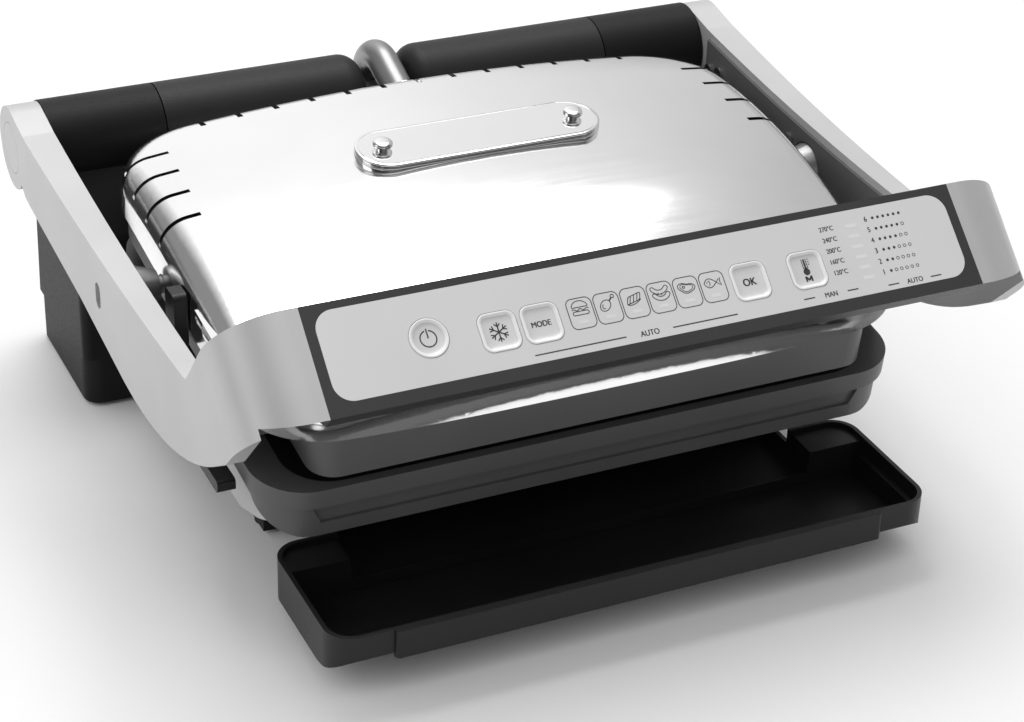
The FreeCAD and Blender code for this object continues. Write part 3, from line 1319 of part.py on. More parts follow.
def lid_solid(label, inset):
    """The cover's outer form, or its room inside when inset is the wall."""
    made = on_deck(body(label))
    half = s.lid_half - inset
    front = s.lid_front - inset
    rear = s.lid_rear - inset
    crest = s.lid_crest - inset
    out = 25
    low = as_size(0) - inset
    front_drop = lid_drop(front + out + s.lid_crest_back, s.lid_front_sweep - inset)
    rear_drop = lid_drop(rear + out - s.lid_crest_back, s.lid_rear_sweep - inset)
    profile = {"corners": [(-front - out, low), (rear + out, low), (rear + out, crest - rear_drop),
                           (s.lid_crest_back, crest), (-front - out, crest - front_drop)],
               "arcs": {2: (s.lid_rear_sweep - inset, True), 3: (s.lid_front_sweep - inset, True)}}
    sketch = outlined(made, "YZ", 0, [profile])
    axis = sketch.addGeometry(Part.LineSegment(Vector(-10, -1290, 0), Vector(10, -1290, 0)), True)
    pen = Outline(sketch)
    level = s.lid_crest - s.lid_crown
    pen.pin(axis, 1, (as_size(-10), level))
    pen.pin(axis, 2, (as_size(10), level))
    turned = made.newObject("PartDesign::Revolution", "Crown")
    turned.Profile = sketch
    turned.ReferenceAxis = (sketch, ["Axis0"])
    turned.Midplane = True
    turned.setExpression("Angle", s.lid_sector.text)
    sketch.Visibility = False
    around = wide(half + 40, -front - out - 5, rear + out + 5)
    pocket(made, "XY", low - out, crest + out * 2, around,
           deck_outline(half, front, rear, s.lid_front_corner - inset, s.lid_rear_corner - inset))
    span_limit = float(half) * 2 - 1

    def top_edge(edge):
        ends = [vertex.Point for vertex in edge.Vertexes]
        return min(p.z for p in ends) > 12 and abs(ends[0].x - ends[-1].x) < span_limit

    round_edges(made, s.lid_edge - inset, top_edge)
    return made


def lid_slots():
    """Boxes that cut the cooling slots along both sides and the back edge of the cover."""
    tools = []
    width = s.slot_width
    top = s.lid_crest + 5
    for side in (-1, 1):
        for i in range(int(s.slot_count.number)):
            low, length = span(side, s.slot_reach + s.slot_drift * i, s.lid_half + 5)
            middle = s.slot_first - i * s.slot_pitch
            tools.append(deck_box(f"slot_{side}_{i}", low, middle - width / 2, s.slot_low, length, width,
                                  top - s.slot_low))
    count = s.back_slot_count
    for i in range(int(count.number)):
        middle = (i - (count - 1) / 2) * s.back_slot_pitch
        tools.append(deck_box(f"back_slot_{i}", middle - width / 2, s.back_slot_reach, s.back_slot_low, width,
                              s.lid_rear + 5 - s.back_slot_reach, top - s.back_slot_low))
    return tools


def lid_cover():
    outer = lid_solid("cover_form", as_size(0))
    room = lid_solid("cover_room", s.lid_wall)
    out = 25
    below = deck_box("cover_below", -s.lid_half - out, -s.lid_front - out, -as_size(out), (s.lid_half + out) * 2,
                     s.lid_front + s.lid_rear + out * 2, s.lid_side_drop + out)
    step = deck_box("cover_step", -s.lid_half - out, -s.lid_front - out, -as_size(out), (s.lid_half + out) * 2,
                    s.lid_front + out - s.fascia_step, s.fascia_top + s.seat_gap + out)
    side_cut = deck_box("cover_side_cut", -s.lid_half - out, -s.cover_cut_start, -as_size(out),
                        (s.lid_half + out) * 2, s.cover_cut_start + s.lid_rear + out, s.cover_cut + out)
    holes = []
    for name, side in SIDES:
        low, length = span(side, s.lid_half - 5, s.lid_half + 5)
        holes.append(rod(f"cover_pivot_{name}", s.pivot_pin_radius + s.lid_pin_room, low, length, s.pivot_y,
                         s.pivot_z))
    low, length = span(-1, s.lid_half - 5, s.lid_half + 5)
    holes.append(rod("cover_tab_hole", s.lever_pin_radius + s.running_gap, low, length, s.tab_y, TAB_PIVOT))
    tube_hole = doc.addObject("Part::Cylinder", "cover_tube_hole")
    tube_hole.setExpression("Radius", (s.tube_radius + s.seat_gap).text)
    tube_hole.setExpression("Height", s.tube_run.text)
    holes.append(place(tube_hole, TUBE_TURN[0], TUBE_TURN[1], s.tube_rise))
    cuts = joined("cover_cuts", [room, below, step, side_cut] + holes + lid_slots())
    return node(without("lid_cover", outer, cuts))


def lid_frame():
    """The dark frame under the steel cover; its front is the fascia."""
    made = on_deck(body("lid_frame"))
    low = s.lid_gap
    height = s.fascia_top - low
    wide_half = s.lid_half - s.lid_wall - s.seat_gap
    pad(made, "XY", low, height, deck_outline(s.fascia_half, s.lid_front - s.fascia_inset, s.frame_rear,
                                              s.fascia_corner, s.fascia_corner * 2))
    pad(made, "XY", s.lid_side_drop, s.fascia_top - s.lid_side_drop,
        deck_outline(wide_half, s.fascia_step - s.seat_gap, s.frame_rear, 6, s.lid_rear_corner - 8))
    pocket(made, "XY", low - 1, s.seat_depth + 1,
           deck_outline(UPPER_HALF + s.plate_gap, UPPER_FRONT + s.plate_gap, UPPER_REAR + s.plate_gap,
                        s.plate_corner + s.plate_gap))
    hole = deck_outline(UPPER_HALF - LID_LEDGE, UPPER_FRONT - LID_LEDGE, UPPER_REAR - LID_LEDGE,
                        s.plate_corner - LID_LEDGE / 2)
    pocket(made, "XY", low - 1, height + 2, hole)
    along, above = deck_coords(s.pivot_y, s.pivot_z)
    ear = rect(along - s.ear_half, along + s.ear_half, s.fascia_top - 1, above + s.ear_rise)
    for side in (-1, 1):
        start, length = span(side, s.ear_inner, wide_half)
        pad(made, "YZ", start, length, ear)
        start, length = span(side, s.pivot_pin_tip - 1, wide_half + 1)
        pocket(made, "YZ", start, length, ring(along, above, s.pivot_pin_radius + s.running_gap))
    return node(made)


def nameplate(cover):
    """The blank plate on the lid; its underside follows the crown."""
    half = s.badge_width / 2
    low = s.lid_crest - s.badge_thick
    made = on_deck(body("nameplate_form"))
    pad(made, "XY", low, s.badge_thick * 2 - s.badge_sink,
        wide(s.badge_half, s.badge_back - half, s.badge_back + half, corner=half - 0.05))
    return node(without("nameplate", made, cover.Base))


def nameplate_studs():
    parts = []
    for side in (-1, 1):
        made = on_deck(body("stud"))
        low = s.lid_crest + s.badge_thick - s.badge_sink
        pad(made, "XY", low, s.stud_height, ring(side * s.stud_reach, s.badge_back, s.stud_radius))
        round_edges(made, s.stud_height * 0.9, lambda edge: edge.BoundBox.ZMin > float(low) + 1)
        parts.append(made)
    return node(group("nameplate_studs", parts))


TUBE_TURN = around_hinge(s.tube_rise, s.tube_sweep)


def conduit_tube():
    """Metal tube that carries the wires over the hinge into the lid."""
    centre = Vector(0, float(HINGE_Y), float(HINGE_Z))
    radius = float(s.tube_sweep)

    def on_bend(angle):
        turn = math.radians(angle)
        return centre + Vector(0, math.cos(turn), math.sin(turn)) * radius

    high = s.tube_rise.number
    low = s.tube_tail.number
    start = on_bend(high)
    forward = Vector(0, -math.sin(math.radians(high)), math.cos(math.radians(high)))
    entry = start + forward * float(s.tube_run)
    path = Part.Wire([Part.LineSegment(entry, start).toShape(),
                      Part.Arc(start, on_bend((high + low) / 2), on_bend(low)).toShape()])
    solids = []
    for section_radius in (float(s.tube_radius), float(s.tube_bore)):
        section = Part.Wire(Part.makeCircle(section_radius, entry, -forward))
        solids.append(path.makePipeShell([section], True, False))
    made = doc.addObject("Part::Feature", "conduit_tube")
    made.Shape = solids[0].cut(solids[1])
    return node(made)


def conduit_collar():
    """Ring where the conduit goes through the back of the lid."""
    y = TUBE_TURN[0] - s.collar_start * sine(s.tube_rise)
    z = TUBE_TURN[1] + s.collar_start * cosine(s.tube_rise)
    parts = []
    for name, radius in (("ring", s.collar_radius), ("bore", s.tube_radius + s.running_gap)):
        made = doc.addObject("Part::Cylinder", f"collar_{name}")
        made.setExpression("Radius", radius.text)
        made.setExpression("Height", s.collar_length.text)
        parts.append(place(made, y, z, s.tube_rise))
    return node(without("conduit_collar", *parts))


def upper_latch(cover):
    """Chrome bar with a slot, on the rounded left edge of the lid."""
    made = on_deck(body("latch_form"))
    outer = s.lid_half + s.latch_thick
    low, length = span(-1, s.lid_half - s.latch_seat, outer)
    front = -s.latch_back - s.latch_length
    rear = -s.latch_back
    high = s.latch_low + s.latch_height
    pad(made, "YZ", low, length, rect(front, rear, s.latch_low, high, corner=s.latch_height / 2 - 0.05))
    slot = s.latch_height / 4
    middle = s.latch_low + s.latch_height / 2
    pocket(made, "YZ", low - 1, slot + 1,
           rect(front + slot * 2, rear - slot * 2, middle - slot, middle + slot, corner=slot - 0.05))
    return node(without("upper_latch", made, cover.Base))


def upper_release():
    """Spring-loaded tab that frees the upper plate; its pin turns in the lid's side."""
    made = body("upper_release")
    inner = s.lid_half + 0.5
    low, length = span(-1, inner, inner + s.tab_thick)
    half = s.tab_width / 2
    pad(made, "YZ", low, length, rect(s.tab_y - half, s.tab_y + half, s.tab_low, s.tab_high, corner=3))
    low, length = span(-1, inner - s.lever_pin_length, inner + 1)
    pad(made, "YZ", low, length, ring(s.tab_y, TAB_PIVOT, s.lever_pin_radius))
    return node(made)


def lower_release():
    """Spring-loaded lever that frees the lower plate; its pin turns in the lower shell."""
    made = body("lower_release")
    inner = s.rim_half + 0.5
    low, length = span(-1, inner, inner + s.lever_thick)
    front = -s.lever_front
    rear = -s.lever_rear
    pad(made, "YZ", low, length, {"corners": [(front, s.lever_low), (rear, s.lever_low), (rear, s.lever_high),
                                              (front, s.lever_high)],
                                  "rounds": {0: s.lever_nose_radius, 3: s.lever_nose_radius}})
    low, length = span(-1, s.lever_hole_inner + 1, inner + 1)
    pad(made, "YZ", low, length, ring(*LEVER_PIVOT, s.lever_pin_radius))
    return node(made)


# Drip tray.
def drip_tray():
    made = body("drip_tray")
    front = -s.tray_front
    rear = TRAY_REAR
    bottom = s.tray_bottom
    wall = s.tray_wall
    pad(made, "XY", bottom, s.tray_rim - bottom, wide(s.tray_half, front, rear, corner=s.tray_corner))
    ledge = s.tray_ledge_width
    pocket(made, "XY", s.tray_ledge_height, s.tray_rim, wide(s.tray_half - wall, front + wall, rear - wall,
                                                             corner=s.tray_corner - wall))
    trough = wall + ledge
    pocket(made, "XY", bottom + wall, s.tray_rim, wide(s.tray_half - trough, front + trough, rear - trough,
                                                       corner=s.tray_corner - trough))
    inner = front + trough
    run = s.tray_hull_run
    hull = s.tray_hull_height
    pad(made, "YZ", trough - s.tray_half, (s.tray_half - trough) * 2,
        {"corners": [(inner - 0.5, bottom + wall - 0.5), (front + run + wall, bottom + wall - 0.5),
                     (inner - 0.5, hull + wall)]})
    pocket(made, "YZ", -s.tray_half - 1, (s.tray_half + 1) * 2,
           {"corners": [(front - 1, bottom - 1), (front - 1, hull), (front, hull), (front + run, bottom),
                        (front + run, bottom - 1)],
            "arcs": {2: (s.tray_hull_curve, True)}})
    floor = s.runner_height + s.seat_gap
    back = rear + s.tongue_length
    lap = rear - s.tongue_lap
    corner = s.tray_corner - 1
    for side in (-1, 1):
        low, length = span(side, s.tongue_half - 1, s.tray_half - 1)
        radii = [None, None, None, corner] if side < 0 else [None, None, corner, None]
        pad(made, "XY", bottom, s.tray_rim - s.tongue_block_drop - bottom,
            rect(low, low + length, lap, rear - 0.5, radii=radii))
    pad(made, "XY", floor, s.tongue_wall_top - floor, wide(s.tongue_half, lap, back))
    pocket(made, "XY", floor + wall, s.tray_rim, wide(s.tongue_half - wall, lap - 1, back - wall))
    pad(made, "XY", floor, s.tongue_bead - floor, wide(s.tongue_half - 1, lap, lap + wall))
    grip_front = front - s.grip_bar_depth
    pad(made, "XY", s.grip_bar_low, s.tray_rim - s.grip_bar_low, wide(s.grip_bar_half, grip_front, front + 1,
                                                                      radii=[2, 2, None, None]))
    return node(made)


# Assembly.
lower_rim()
lower_skirt()
lower_shell()
bottom_housing()
for name, side in SIDES:
    tower(side, name)
    barrel_cover(side, name)
    arm(side, name)
    arm_liner(side, name)
rear_bridge()
hinge_shaft()
hinge_bushes()
thickness_sensor()
lower_plate()
heater("lower_heater", -HEATER_DROP)
reflector("lower_reflector", REFLECTOR_LOW, s.reflector_depth, s.reflector_half, s.reflector_front,
          s.reflector_rear, False)
node(plate("upper_plate", UPPER_HALF, UPPER_FRONT, UPPER_REAR, LID_SEAT, False))
heater("upper_heater", UPPER_HEATER_RISE)
reflector("upper_reflector", s.fascia_top, s.lid_reflector_depth, UPPER_HALF - LID_LEDGE + s.lid_reflector_brim,
          UPPER_FRONT - LID_LEDGE + s.lid_reflector_brim, UPPER_REAR - LID_LEDGE + s.lid_reflector_brim, True)
sensor("lower_sensor", -s.seat_depth - s.plate_thick - s.sensor_length)
sensor("upper_sensor", LID_SEAT + s.plate_thick)
power_board()
cable_inlet()
feet()
hinge_caps()
pivot_bosses()
pivot_screws()
liner_screws()
panel_frame()
panel_back()
panel_screws()
display_sheet()
for name, x, line in KEYS:
    key(name, x, line)
keypad_mat()
control_board()
light_guides()
cover = lid_cover()
lid_frame()
nameplate(cover)
nameplate_studs()
conduit_tube()
conduit_collar()
upper_latch(cover)
upper_release()
lower_release()
drip_tray()

doc.recompute()
failed = [item.Label for item in doc.Objects if "Invalid" in item.State or "Error" in item.State]
bad = [item.Label for item in nodes if item.Shape.isNull() or not item.Shape.isValid()]
if failed or bad:
    raise RuntimeError(f"failed: {failed}; not valid: {bad}")
os.makedirs("parts", exist_ok=True)
for item in nodes:
    item.Shape.exportStep(f"parts/{item.Label}.step")
print(len(nodes), "pieces written")
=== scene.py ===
# %% [markdown]
# An electric contact grill, dressed for a studio photograph.
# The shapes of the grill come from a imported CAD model, which this lesson never moves or bends.
# What is added here is the light, the finish of every surface, and the small forms that a CAD
# model leaves plain: the printed control panel, the dished keys and the bright plate on the lid.

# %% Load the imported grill
import json
import math

import bmesh
import bpy
import numpy as np
from mathutils import Matrix, Vector


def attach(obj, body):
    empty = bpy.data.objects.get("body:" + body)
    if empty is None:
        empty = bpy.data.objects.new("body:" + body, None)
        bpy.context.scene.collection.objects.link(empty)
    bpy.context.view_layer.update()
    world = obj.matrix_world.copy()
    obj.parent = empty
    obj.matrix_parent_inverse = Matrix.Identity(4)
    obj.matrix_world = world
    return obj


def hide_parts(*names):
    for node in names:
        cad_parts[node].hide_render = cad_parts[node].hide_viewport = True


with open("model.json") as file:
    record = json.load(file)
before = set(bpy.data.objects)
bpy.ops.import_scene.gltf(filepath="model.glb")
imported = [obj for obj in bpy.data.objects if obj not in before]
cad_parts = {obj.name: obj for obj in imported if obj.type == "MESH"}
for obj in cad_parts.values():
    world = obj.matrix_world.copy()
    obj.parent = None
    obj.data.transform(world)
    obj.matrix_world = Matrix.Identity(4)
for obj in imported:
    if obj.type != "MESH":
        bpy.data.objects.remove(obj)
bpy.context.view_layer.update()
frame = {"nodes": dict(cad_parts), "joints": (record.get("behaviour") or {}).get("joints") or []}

scene = bpy.context.scene
cad = frame["nodes"]

# %% [markdown]
# The camera stands to the left in front of the grill and looks down on it, a little tilted.
# A tracking constraint could aim it, but a matrix built from three angles says exactly how the
# photograph was taken: yaw round the vertical, pitch down, and roll about the line of sight.

# %% Place the camera
IMAGE_WIDTH = 1024
FOCAL_PIXELS = 2515.56
CAMERA_PLACE = (-0.4241, -0.9105, 0.6259)
YAW, PITCH, ROLL = (math.radians(angle) for angle in (25.6334, 30.2067, 1.9436))
up = Vector((0, 0, 1))
ahead = Vector((math.sin(YAW), math.cos(YAW), 0))
across = Vector((math.cos(YAW), -math.sin(YAW), 0))
sight = ahead * math.cos(PITCH) - up * math.sin(PITCH)
head = up * math.cos(PITCH) + ahead * math.sin(PITCH)
right = across * math.cos(ROLL) + head * math.sin(ROLL)
top = head * math.cos(ROLL) - across * math.sin(ROLL)
camera = bpy.data.objects.new("camera", bpy.data.cameras.new("camera"))
camera.data.sensor_width = 36
camera.data.lens = FOCAL_PIXELS * camera.data.sensor_width / IMAGE_WIDTH
turn = Matrix((right, top, -sight)).transposed().to_4x4()
camera.matrix_world = Matrix.Translation(CAMERA_PLACE) @ turn
scene.collection.objects.link(camera)
scene.camera = camera
print("lens in mm:", round(camera.data.lens, 2))

# %% [markdown]
# The grill stands on a seamless white table. A plainly white one would throw much light back
# up, and the dark plastic would glow. So the table is white to the camera and to mirrors, and
# grey to the light that bounces off it on to the grill. Its soft shadow stays either way.

# %% Lay the floor
def put(name, points, faces, material=None):
    """Make an object from an array of points and an array of faces."""
    mesh = bpy.data.meshes.new(name)
    corners = np.asarray(points, float).reshape(-1, 3).tolist()
    mesh.from_pydata(corners, [], [list(map(int, face)) for face in faces])
    mesh.validate()
    mesh.update()
    made = bpy.data.objects.new(name, mesh)
    scene.collection.objects.link(made)
    if material:
        mesh.materials.append(material)
    return made


def graph(name):
    """A new material, its node tree and its Principled shader."""
    made = bpy.data.materials.new(name)
    made.use_nodes = True
    return made, made.node_tree, made.node_tree.nodes["Principled BSDF"]


def mixed(tree, factor, low, high):
    """A colour between low and high; each is a colour or a socket."""
    mix = tree.nodes.new("ShaderNodeMix")
    mix.data_type = "RGBA"
    tree.links.new(factor, mix.inputs["Factor"])
    for socket, value in ((mix.inputs["A"], low), (mix.inputs["B"], high)):
        if isinstance(value, bpy.types.NodeSocket):
            tree.links.new(value, socket)
        else:
            socket.default_value = (*value, 1)
    return mix.outputs["Result"]


def ranged(tree, value, low, high, start=0.3, end=0.7):
    """A value between start and end, carried to low and high."""
    made = tree.nodes.new("ShaderNodeMapRange")
    for socket, number in zip(("From Min", "From Max", "To Min", "To Max"), (start, end, low, high)):
        made.inputs[socket].default_value = number
    tree.links.new(value, made.inputs["Value"])
    return made.outputs["Result"]


def worked(tree, operation, first, second):
    """Two values put together by a sum, a product or the greater of them."""
    made = tree.nodes.new("ShaderNodeMath")
    made.operation = operation
    for socket, value in zip(made.inputs, (first, second)):
        if isinstance(value, bpy.types.NodeSocket):
            tree.links.new(value, socket)
        else:
            socket.default_value = value
    return made.outputs["Value"]


def background_rays(tree):
    """One where a camera, mirror or glass ray arrives, nought for light that bounces."""
    path = tree.nodes.new("ShaderNodeLightPath")
    clear = worked(tree, "MAXIMUM", path.outputs["Is Camera Ray"], path.outputs["Is Transmission Ray"])
    return worked(tree, "MAXIMUM", clear, path.outputs["Is Glossy Ray"])


FLOOR_REACH = 9
FLOOR_SEEN = (0.97, 0.97, 0.97)
FLOOR_BOUNCE = (0.5, 0.5, 0.5)
floor_paint, tree, shader = graph("white_table")
shader.inputs["Roughness"].default_value = 1
shader.inputs["Specular IOR Level"].default_value = 0
floor_colour = mixed(tree, background_rays(tree), FLOOR_BOUNCE, FLOOR_SEEN)
tree.links.new(floor_colour, shader.inputs["Base Color"])
floor_corners = FLOOR_REACH * np.array([(-1, -1, 0), (1, -1, 0), (1, 1, 0), (-1, 1, 0)])
floor = put("floor", floor_corners, [(0, 1, 2, 3)], floor_paint)
print("floor across in m:", 2 * FLOOR_REACH)

# %% [markdown]
# Round the grill hangs a pale tent, which is the world itself. It sheds more light from behind
# and above than from the front. An even tent would be simpler, but polished steel shows what it
# mirrors, and in an even white room it has no edges at all. So the tent that shows in gloss is
# white behind and overhead, greys off to both sides, and is dark in front.

# %% Raise the tent
world = bpy.data.worlds.new("tent")
world.use_nodes = True
scene.world = world
tree = world.node_tree
backdrop = tree.nodes["Background"]
heading = tree.nodes.new("ShaderNodeTexCoord")
parts = tree.nodes.new("ShaderNodeSeparateXYZ")
tree.links.new(heading.outputs["Generated"], parts.inputs["Vector"])
toward_x, toward_y, toward_z = (parts.outputs[name] for name in "XYZ")


def seen_in_gloss(tree):
    """The greater of behind and above, times a grey for each side and one near the ground."""
    behind = ranged(tree, toward_y, low=0.14, high=1, start=-0.4, end=0.05)
    above = ranged(tree, toward_z, low=0.05, high=1, start=0.6, end=0.9)
    right_hand = ranged(tree, toward_x, low=1, high=0.5, start=0.28, end=0.62)
    left_hand = ranged(tree, toward_x, low=0.25, high=1, start=-0.5, end=-0.12)
    ground = ranged(tree, toward_z, low=0.4, high=1, start=0, end=0.22)
    white = worked(tree, "MAXIMUM", behind, above)
    sides = worked(tree, "MULTIPLY", right_hand, left_hand)
    return worked(tree, "MULTIPLY", white, worked(tree, "MULTIPLY", sides, ground))


TENT_WEIGHTS = (-0.35, 0.5, 0.75)
TENT_DARKEST, TENT_BRIGHTEST = 0.238, 0.884


def shed_by_tent(tree):
    """Light that grows with a weighted sum of the direction: to the left, the back and the top."""
    terms = [worked(tree, "MULTIPLY", toward, weight)
             for toward, weight in zip((toward_x, toward_y, toward_z), TENT_WEIGHTS)]
    total = worked(tree, "ADD", worked(tree, "ADD", terms[0], terms[1]), terms[2])
    return ranged(tree, total, low=TENT_DARKEST, high=TENT_BRIGHTEST, start=-1, end=1)


clear_rays = tree.nodes.new("ShaderNodeLightPath").outputs["Is Camera Ray"]
in_gloss = mixed(tree, clear_rays, seen_in_gloss(tree), (1, 1, 1))
tent = mixed(tree, background_rays(tree), shed_by_tent(tree), in_gloss)
tree.links.new(tent, backdrop.inputs["Color"])
backdrop.inputs["Strength"].default_value = 1
scene.view_settings.view_transform = "Standard"
print("tent nodes:", len(tree.nodes))

# %% [markdown]
# Two soft boxes give the light a direction: a big one over the back, whose shadow falls to the
# front, and a weaker one on the left. A small lamp would be brighter for its size, but it would
# leave a hard spot on the steel, so both are more than a metre wide.

# %% Hang the soft boxes
def soft_box(name, place, aim, size, power):
    """A square area lamp at a place, turned so that it faces its aim."""
    lamp = bpy.data.lights.new(name, "AREA")
    lamp.size = size
    lamp.energy = power
    made = bpy.data.objects.new(name, lamp)
    made.location = place
    made.rotation_euler = (Vector(aim) - Vector(place)).to_track_quat("-Z", "Y").to_euler()
    scene.collection.objects.link(made)
    return made


soft_box("overhead_light", place=(0.35, 0.75, 2.3), aim=(0, 0, 0.05), size=1.5, power=26)
soft_box("left_light", place=(-2.2, 0.1, 1.2), aim=(0, 0, 0.08), size=1.3, power=6)

# %% [markdown]
# Every finish on the grill is a Principled surface with two noises. A slow one lets the colour
# drift a little. A fine one roughens the gloss unevenly and raises a grain, from a thousandth of
# a millimetre on chrome to a few hundredths on the castings. A flat colour would be quicker, but
# plastic and steel never look so even. Object coordinates fix the pattern to the piece.

# %% Mix the finishes
def tone(level, tint=(1, 1, 1)):
    """Linear colour of a grey level as a screen shows it, 0 to 255."""
    value = level / 255
    linear = value / 12.92 if value <= 0.04045 else ((value + 0.055) / 1.055) ** 2.4
    return tuple(min(linear * t, 1.0) for t in tint)


EVEN = (1, 1, 1)
BRUSHED = (0.02, 1, 1)


def noise(tree, scale, stretch=EVEN, detail=2):
    """Noise in Object coordinates, drawn out along an axis where its stretch is small."""
    where = tree.nodes.new("ShaderNodeTexCoord")
    mapping = tree.nodes.new("ShaderNodeMapping")
    mapping.inputs["Scale"].default_value = stretch
    made = tree.nodes.new("ShaderNodeTexNoise")
    made.inputs["Scale"].default_value = scale
    made.inputs["Detail"].default_value = detail
    tree.links.new(where.outputs["Object"], mapping.inputs["Vector"])
    tree.links.new(mapping.outputs["Vector"], made.inputs["Vector"])
    return made.outputs["Fac"]


ROUGHNESS_SPREAD = 0.15


def finish(name, dark, light, rough, metal=0.0, shine=0.5,
           drift=18, grain=1400, depth=0.00002, stretch=EVEN):
    """A surface whose colour drifts from dark to light and whose gloss and grain are noise."""
    made, tree, shader = graph(name)
    shader.inputs["Metallic"].default_value = metal
    shader.inputs["Specular IOR Level"].default_value = shine
    slow = ranged(tree, noise(tree, drift), 0, 1)
    tree.links.new(mixed(tree, slow, dark, light), shader.inputs["Base Color"])
    fine = noise(tree, grain, stretch, detail=3)
    smoothest, roughest = rough * (1 - ROUGHNESS_SPREAD), rough * (1 + ROUGHNESS_SPREAD)
    tree.links.new(ranged(tree, fine, smoothest, roughest), shader.inputs["Roughness"])
    bump = tree.nodes.new("ShaderNodeBump")
    bump.inputs["Strength"].default_value = 1
    bump.inputs["Distance"].default_value = depth
    tree.links.new(fine, bump.inputs["Height"])
    tree.links.new(bump.outputs["Normal"], shader.inputs["Normal"])
    return made


paints = {
    "silver": finish("silver_paint", tone(196), tone(204), 0.4, metal=0.35, grain=2600, depth=0.000006),
    "barrel": finish("satin_black_cover", tone(32), tone(36), 0.5, shine=0.28),
    "black": finish("satin_black", tone(24), tone(29), 0.4, shine=0.4),
    "tower": finish("satin_graphite", tone(24), tone(28), 0.5, shine=0.18),
    "fascia": finish("dark_grey", tone(92), tone(98), 0.4, shine=0.5),
    "rim": finish("rim_grey", tone(90), tone(96), 0.4, shine=0.5),
    "frame": finish("panel_grey", tone(56), tone(60), 0.4, shine=0.35),
    "steel": finish("polished_steel", tone(246), tone(250), 0.14, metal=1.0,
                    grain=500, depth=0.000002, stretch=BRUSHED),
    "plain_steel": finish("plain_steel", tone(190), tone(200), 0.3, metal=1.0),
    "tube": finish("satin_tube", tone(150), tone(156), 0.35, metal=0.8),
    "chrome": finish("bright_chrome", tone(246), tone(250), 0.05, metal=1.0, depth=0.000001),
    "cast": finish("coated_casting", tone(30), tone(38), 0.55, shine=0.5, grain=1800, depth=0.00006),
    "element": finish("element_tube", tone(110), tone(134, (1, 0.93, 0.85)), 0.4, metal=0.9),
    "sheet": finish("reflector_sheet", tone(200), tone(214), 0.25, metal=1.0, stretch=BRUSHED),
    "circuit": finish("circuit_board", tone(90, (0.45, 1, 0.6)), tone(98, (0.5, 1, 0.6)), 0.5),
    "rubber": finish("black_rubber", tone(38), tone(46), 0.8, shine=0.3),
    "lamp": finish("light_guide", tone(228), tone(232), 0.3),
    "display": finish("display_foil", tone(221), tone(225), 0.4, metal=0.1, grain=3000, depth=0.000004),
    "key": finish("key_silver", tone(218), tone(224), 0.35, metal=0.1, grain=3000, depth=0.000004),
    # a lighter silver for the key rims: a painted highlight where the raised rim catches the light
    "key_rim": finish("key_rim", tone(244), tone(248), 0.3, grain=3000, depth=0.000004),
    "ink": finish("print_ink", tone(64), tone(70), 0.5, shine=0.3, grain=3000, depth=0.000003),
}
print("finishes:", len(paints))

# %% [markdown]
# Each CAD node already has the right shape, so it only needs its finish. A table from finish to
# nodes is easier to read than a material set node by node.

# %% Paint the CAD nodes
DRESS = {
    "silver": "left_arm right_arm lower_shell hinge_caps",
    "tube": "conduit_tube pivot_bosses",
    "barrel": "left_barrel_cover right_barrel_cover",
    "tower": "left_tower right_tower bottom_housing",
    "black": "drip_tray lower_release upper_release rear_bridge panel_back cable_inlet",
    "fascia": "lid_frame left_arm_liner right_arm_liner",
    "rim": "lower_skirt lower_rim",
    "frame": "panel_frame",
    "steel": "lid_cover",
    "chrome": "nameplate nameplate_studs upper_latch conduit_collar",
    "plain_steel": "hinge_shaft hinge_bushes pivot_screws liner_screws panel_screws"
                   " lower_sensor upper_sensor thickness_sensor",
    "cast": "lower_plate upper_plate",
    "element": "lower_heater upper_heater",
    "sheet": "lower_reflector upper_reflector",
    "circuit": "power_board control_board",
    "rubber": "feet keypad_mat",
    "lamp": "light_guides",
    "display": "display_sheet",
    "key": "power_button defrost_button mode_button ok_button manual_button",
}
for paint, names in DRESS.items():
    for name in names.split():
        mesh = cad[name].data
        mesh.materials.clear()
        mesh.materials.append(paints[paint])
bare = sorted(set(cad) - set(" ".join(DRESS.values()).split()))
print("nodes without a finish:", bare)

# %% [markdown]
# The control panel leans back, so its print is easiest to draw flat: across, up and out in
# millimetres, then laid on the slope. The slope could be typed in, but it would be wrong as soon
# as the model changed. So the way the keys are pressed and the reach of the display foil, both
# from the CAD model, say where the panel lies.

# %% Find the panel
def reach(node, axes):
    """Lowest and highest place of a node along each of three directions."""
    mesh = cad[node].data
    points = np.empty(3 * len(mesh.vertices))
    mesh.vertices.foreach_get("co", points)
    along = points.reshape(-1, 3) @ axes.T
    return along.min(0), along.max(0)


pressed = np.array(next(joint["axis"] for joint in frame["joints"] if joint["name"] == "power_press"))
PANEL = np.array([(1, 0, 0), (0, -pressed[2], pressed[1]), -pressed])
foil_low, foil_high = reach("display_sheet", PANEL)
FOIL_ABOVE_MIDDLE = 0.001
panel_middle = np.array([0, (foil_low[1] + foil_high[1]) / 2 - FOIL_ABOVE_MIDDLE, foil_high[2]])


def laid(points, axes, middle):
    """Millimetres across, up and out, as metres: the middle plus each amount along its axis."""
    return (np.asarray(points) / 1000 + middle) @ axes


print("panel slope:", round(math.degrees(math.asin(pressed[1])), 1),
      "middle:", laid([0, 0, 0], PANEL, panel_middle).round(4))

# %% [markdown]
# Everything printed is a thin closed strip or plate of ink, a few hundredths of a millimetre
# proud of the foil. An image would be blurred close up, and a flat face would flicker against
# the foil, while a strip with four corners all along a path is sharp, closed and light.

# %% Draw strips and plates
INK_SINK, INK_HIGH = -0.03, 0.05


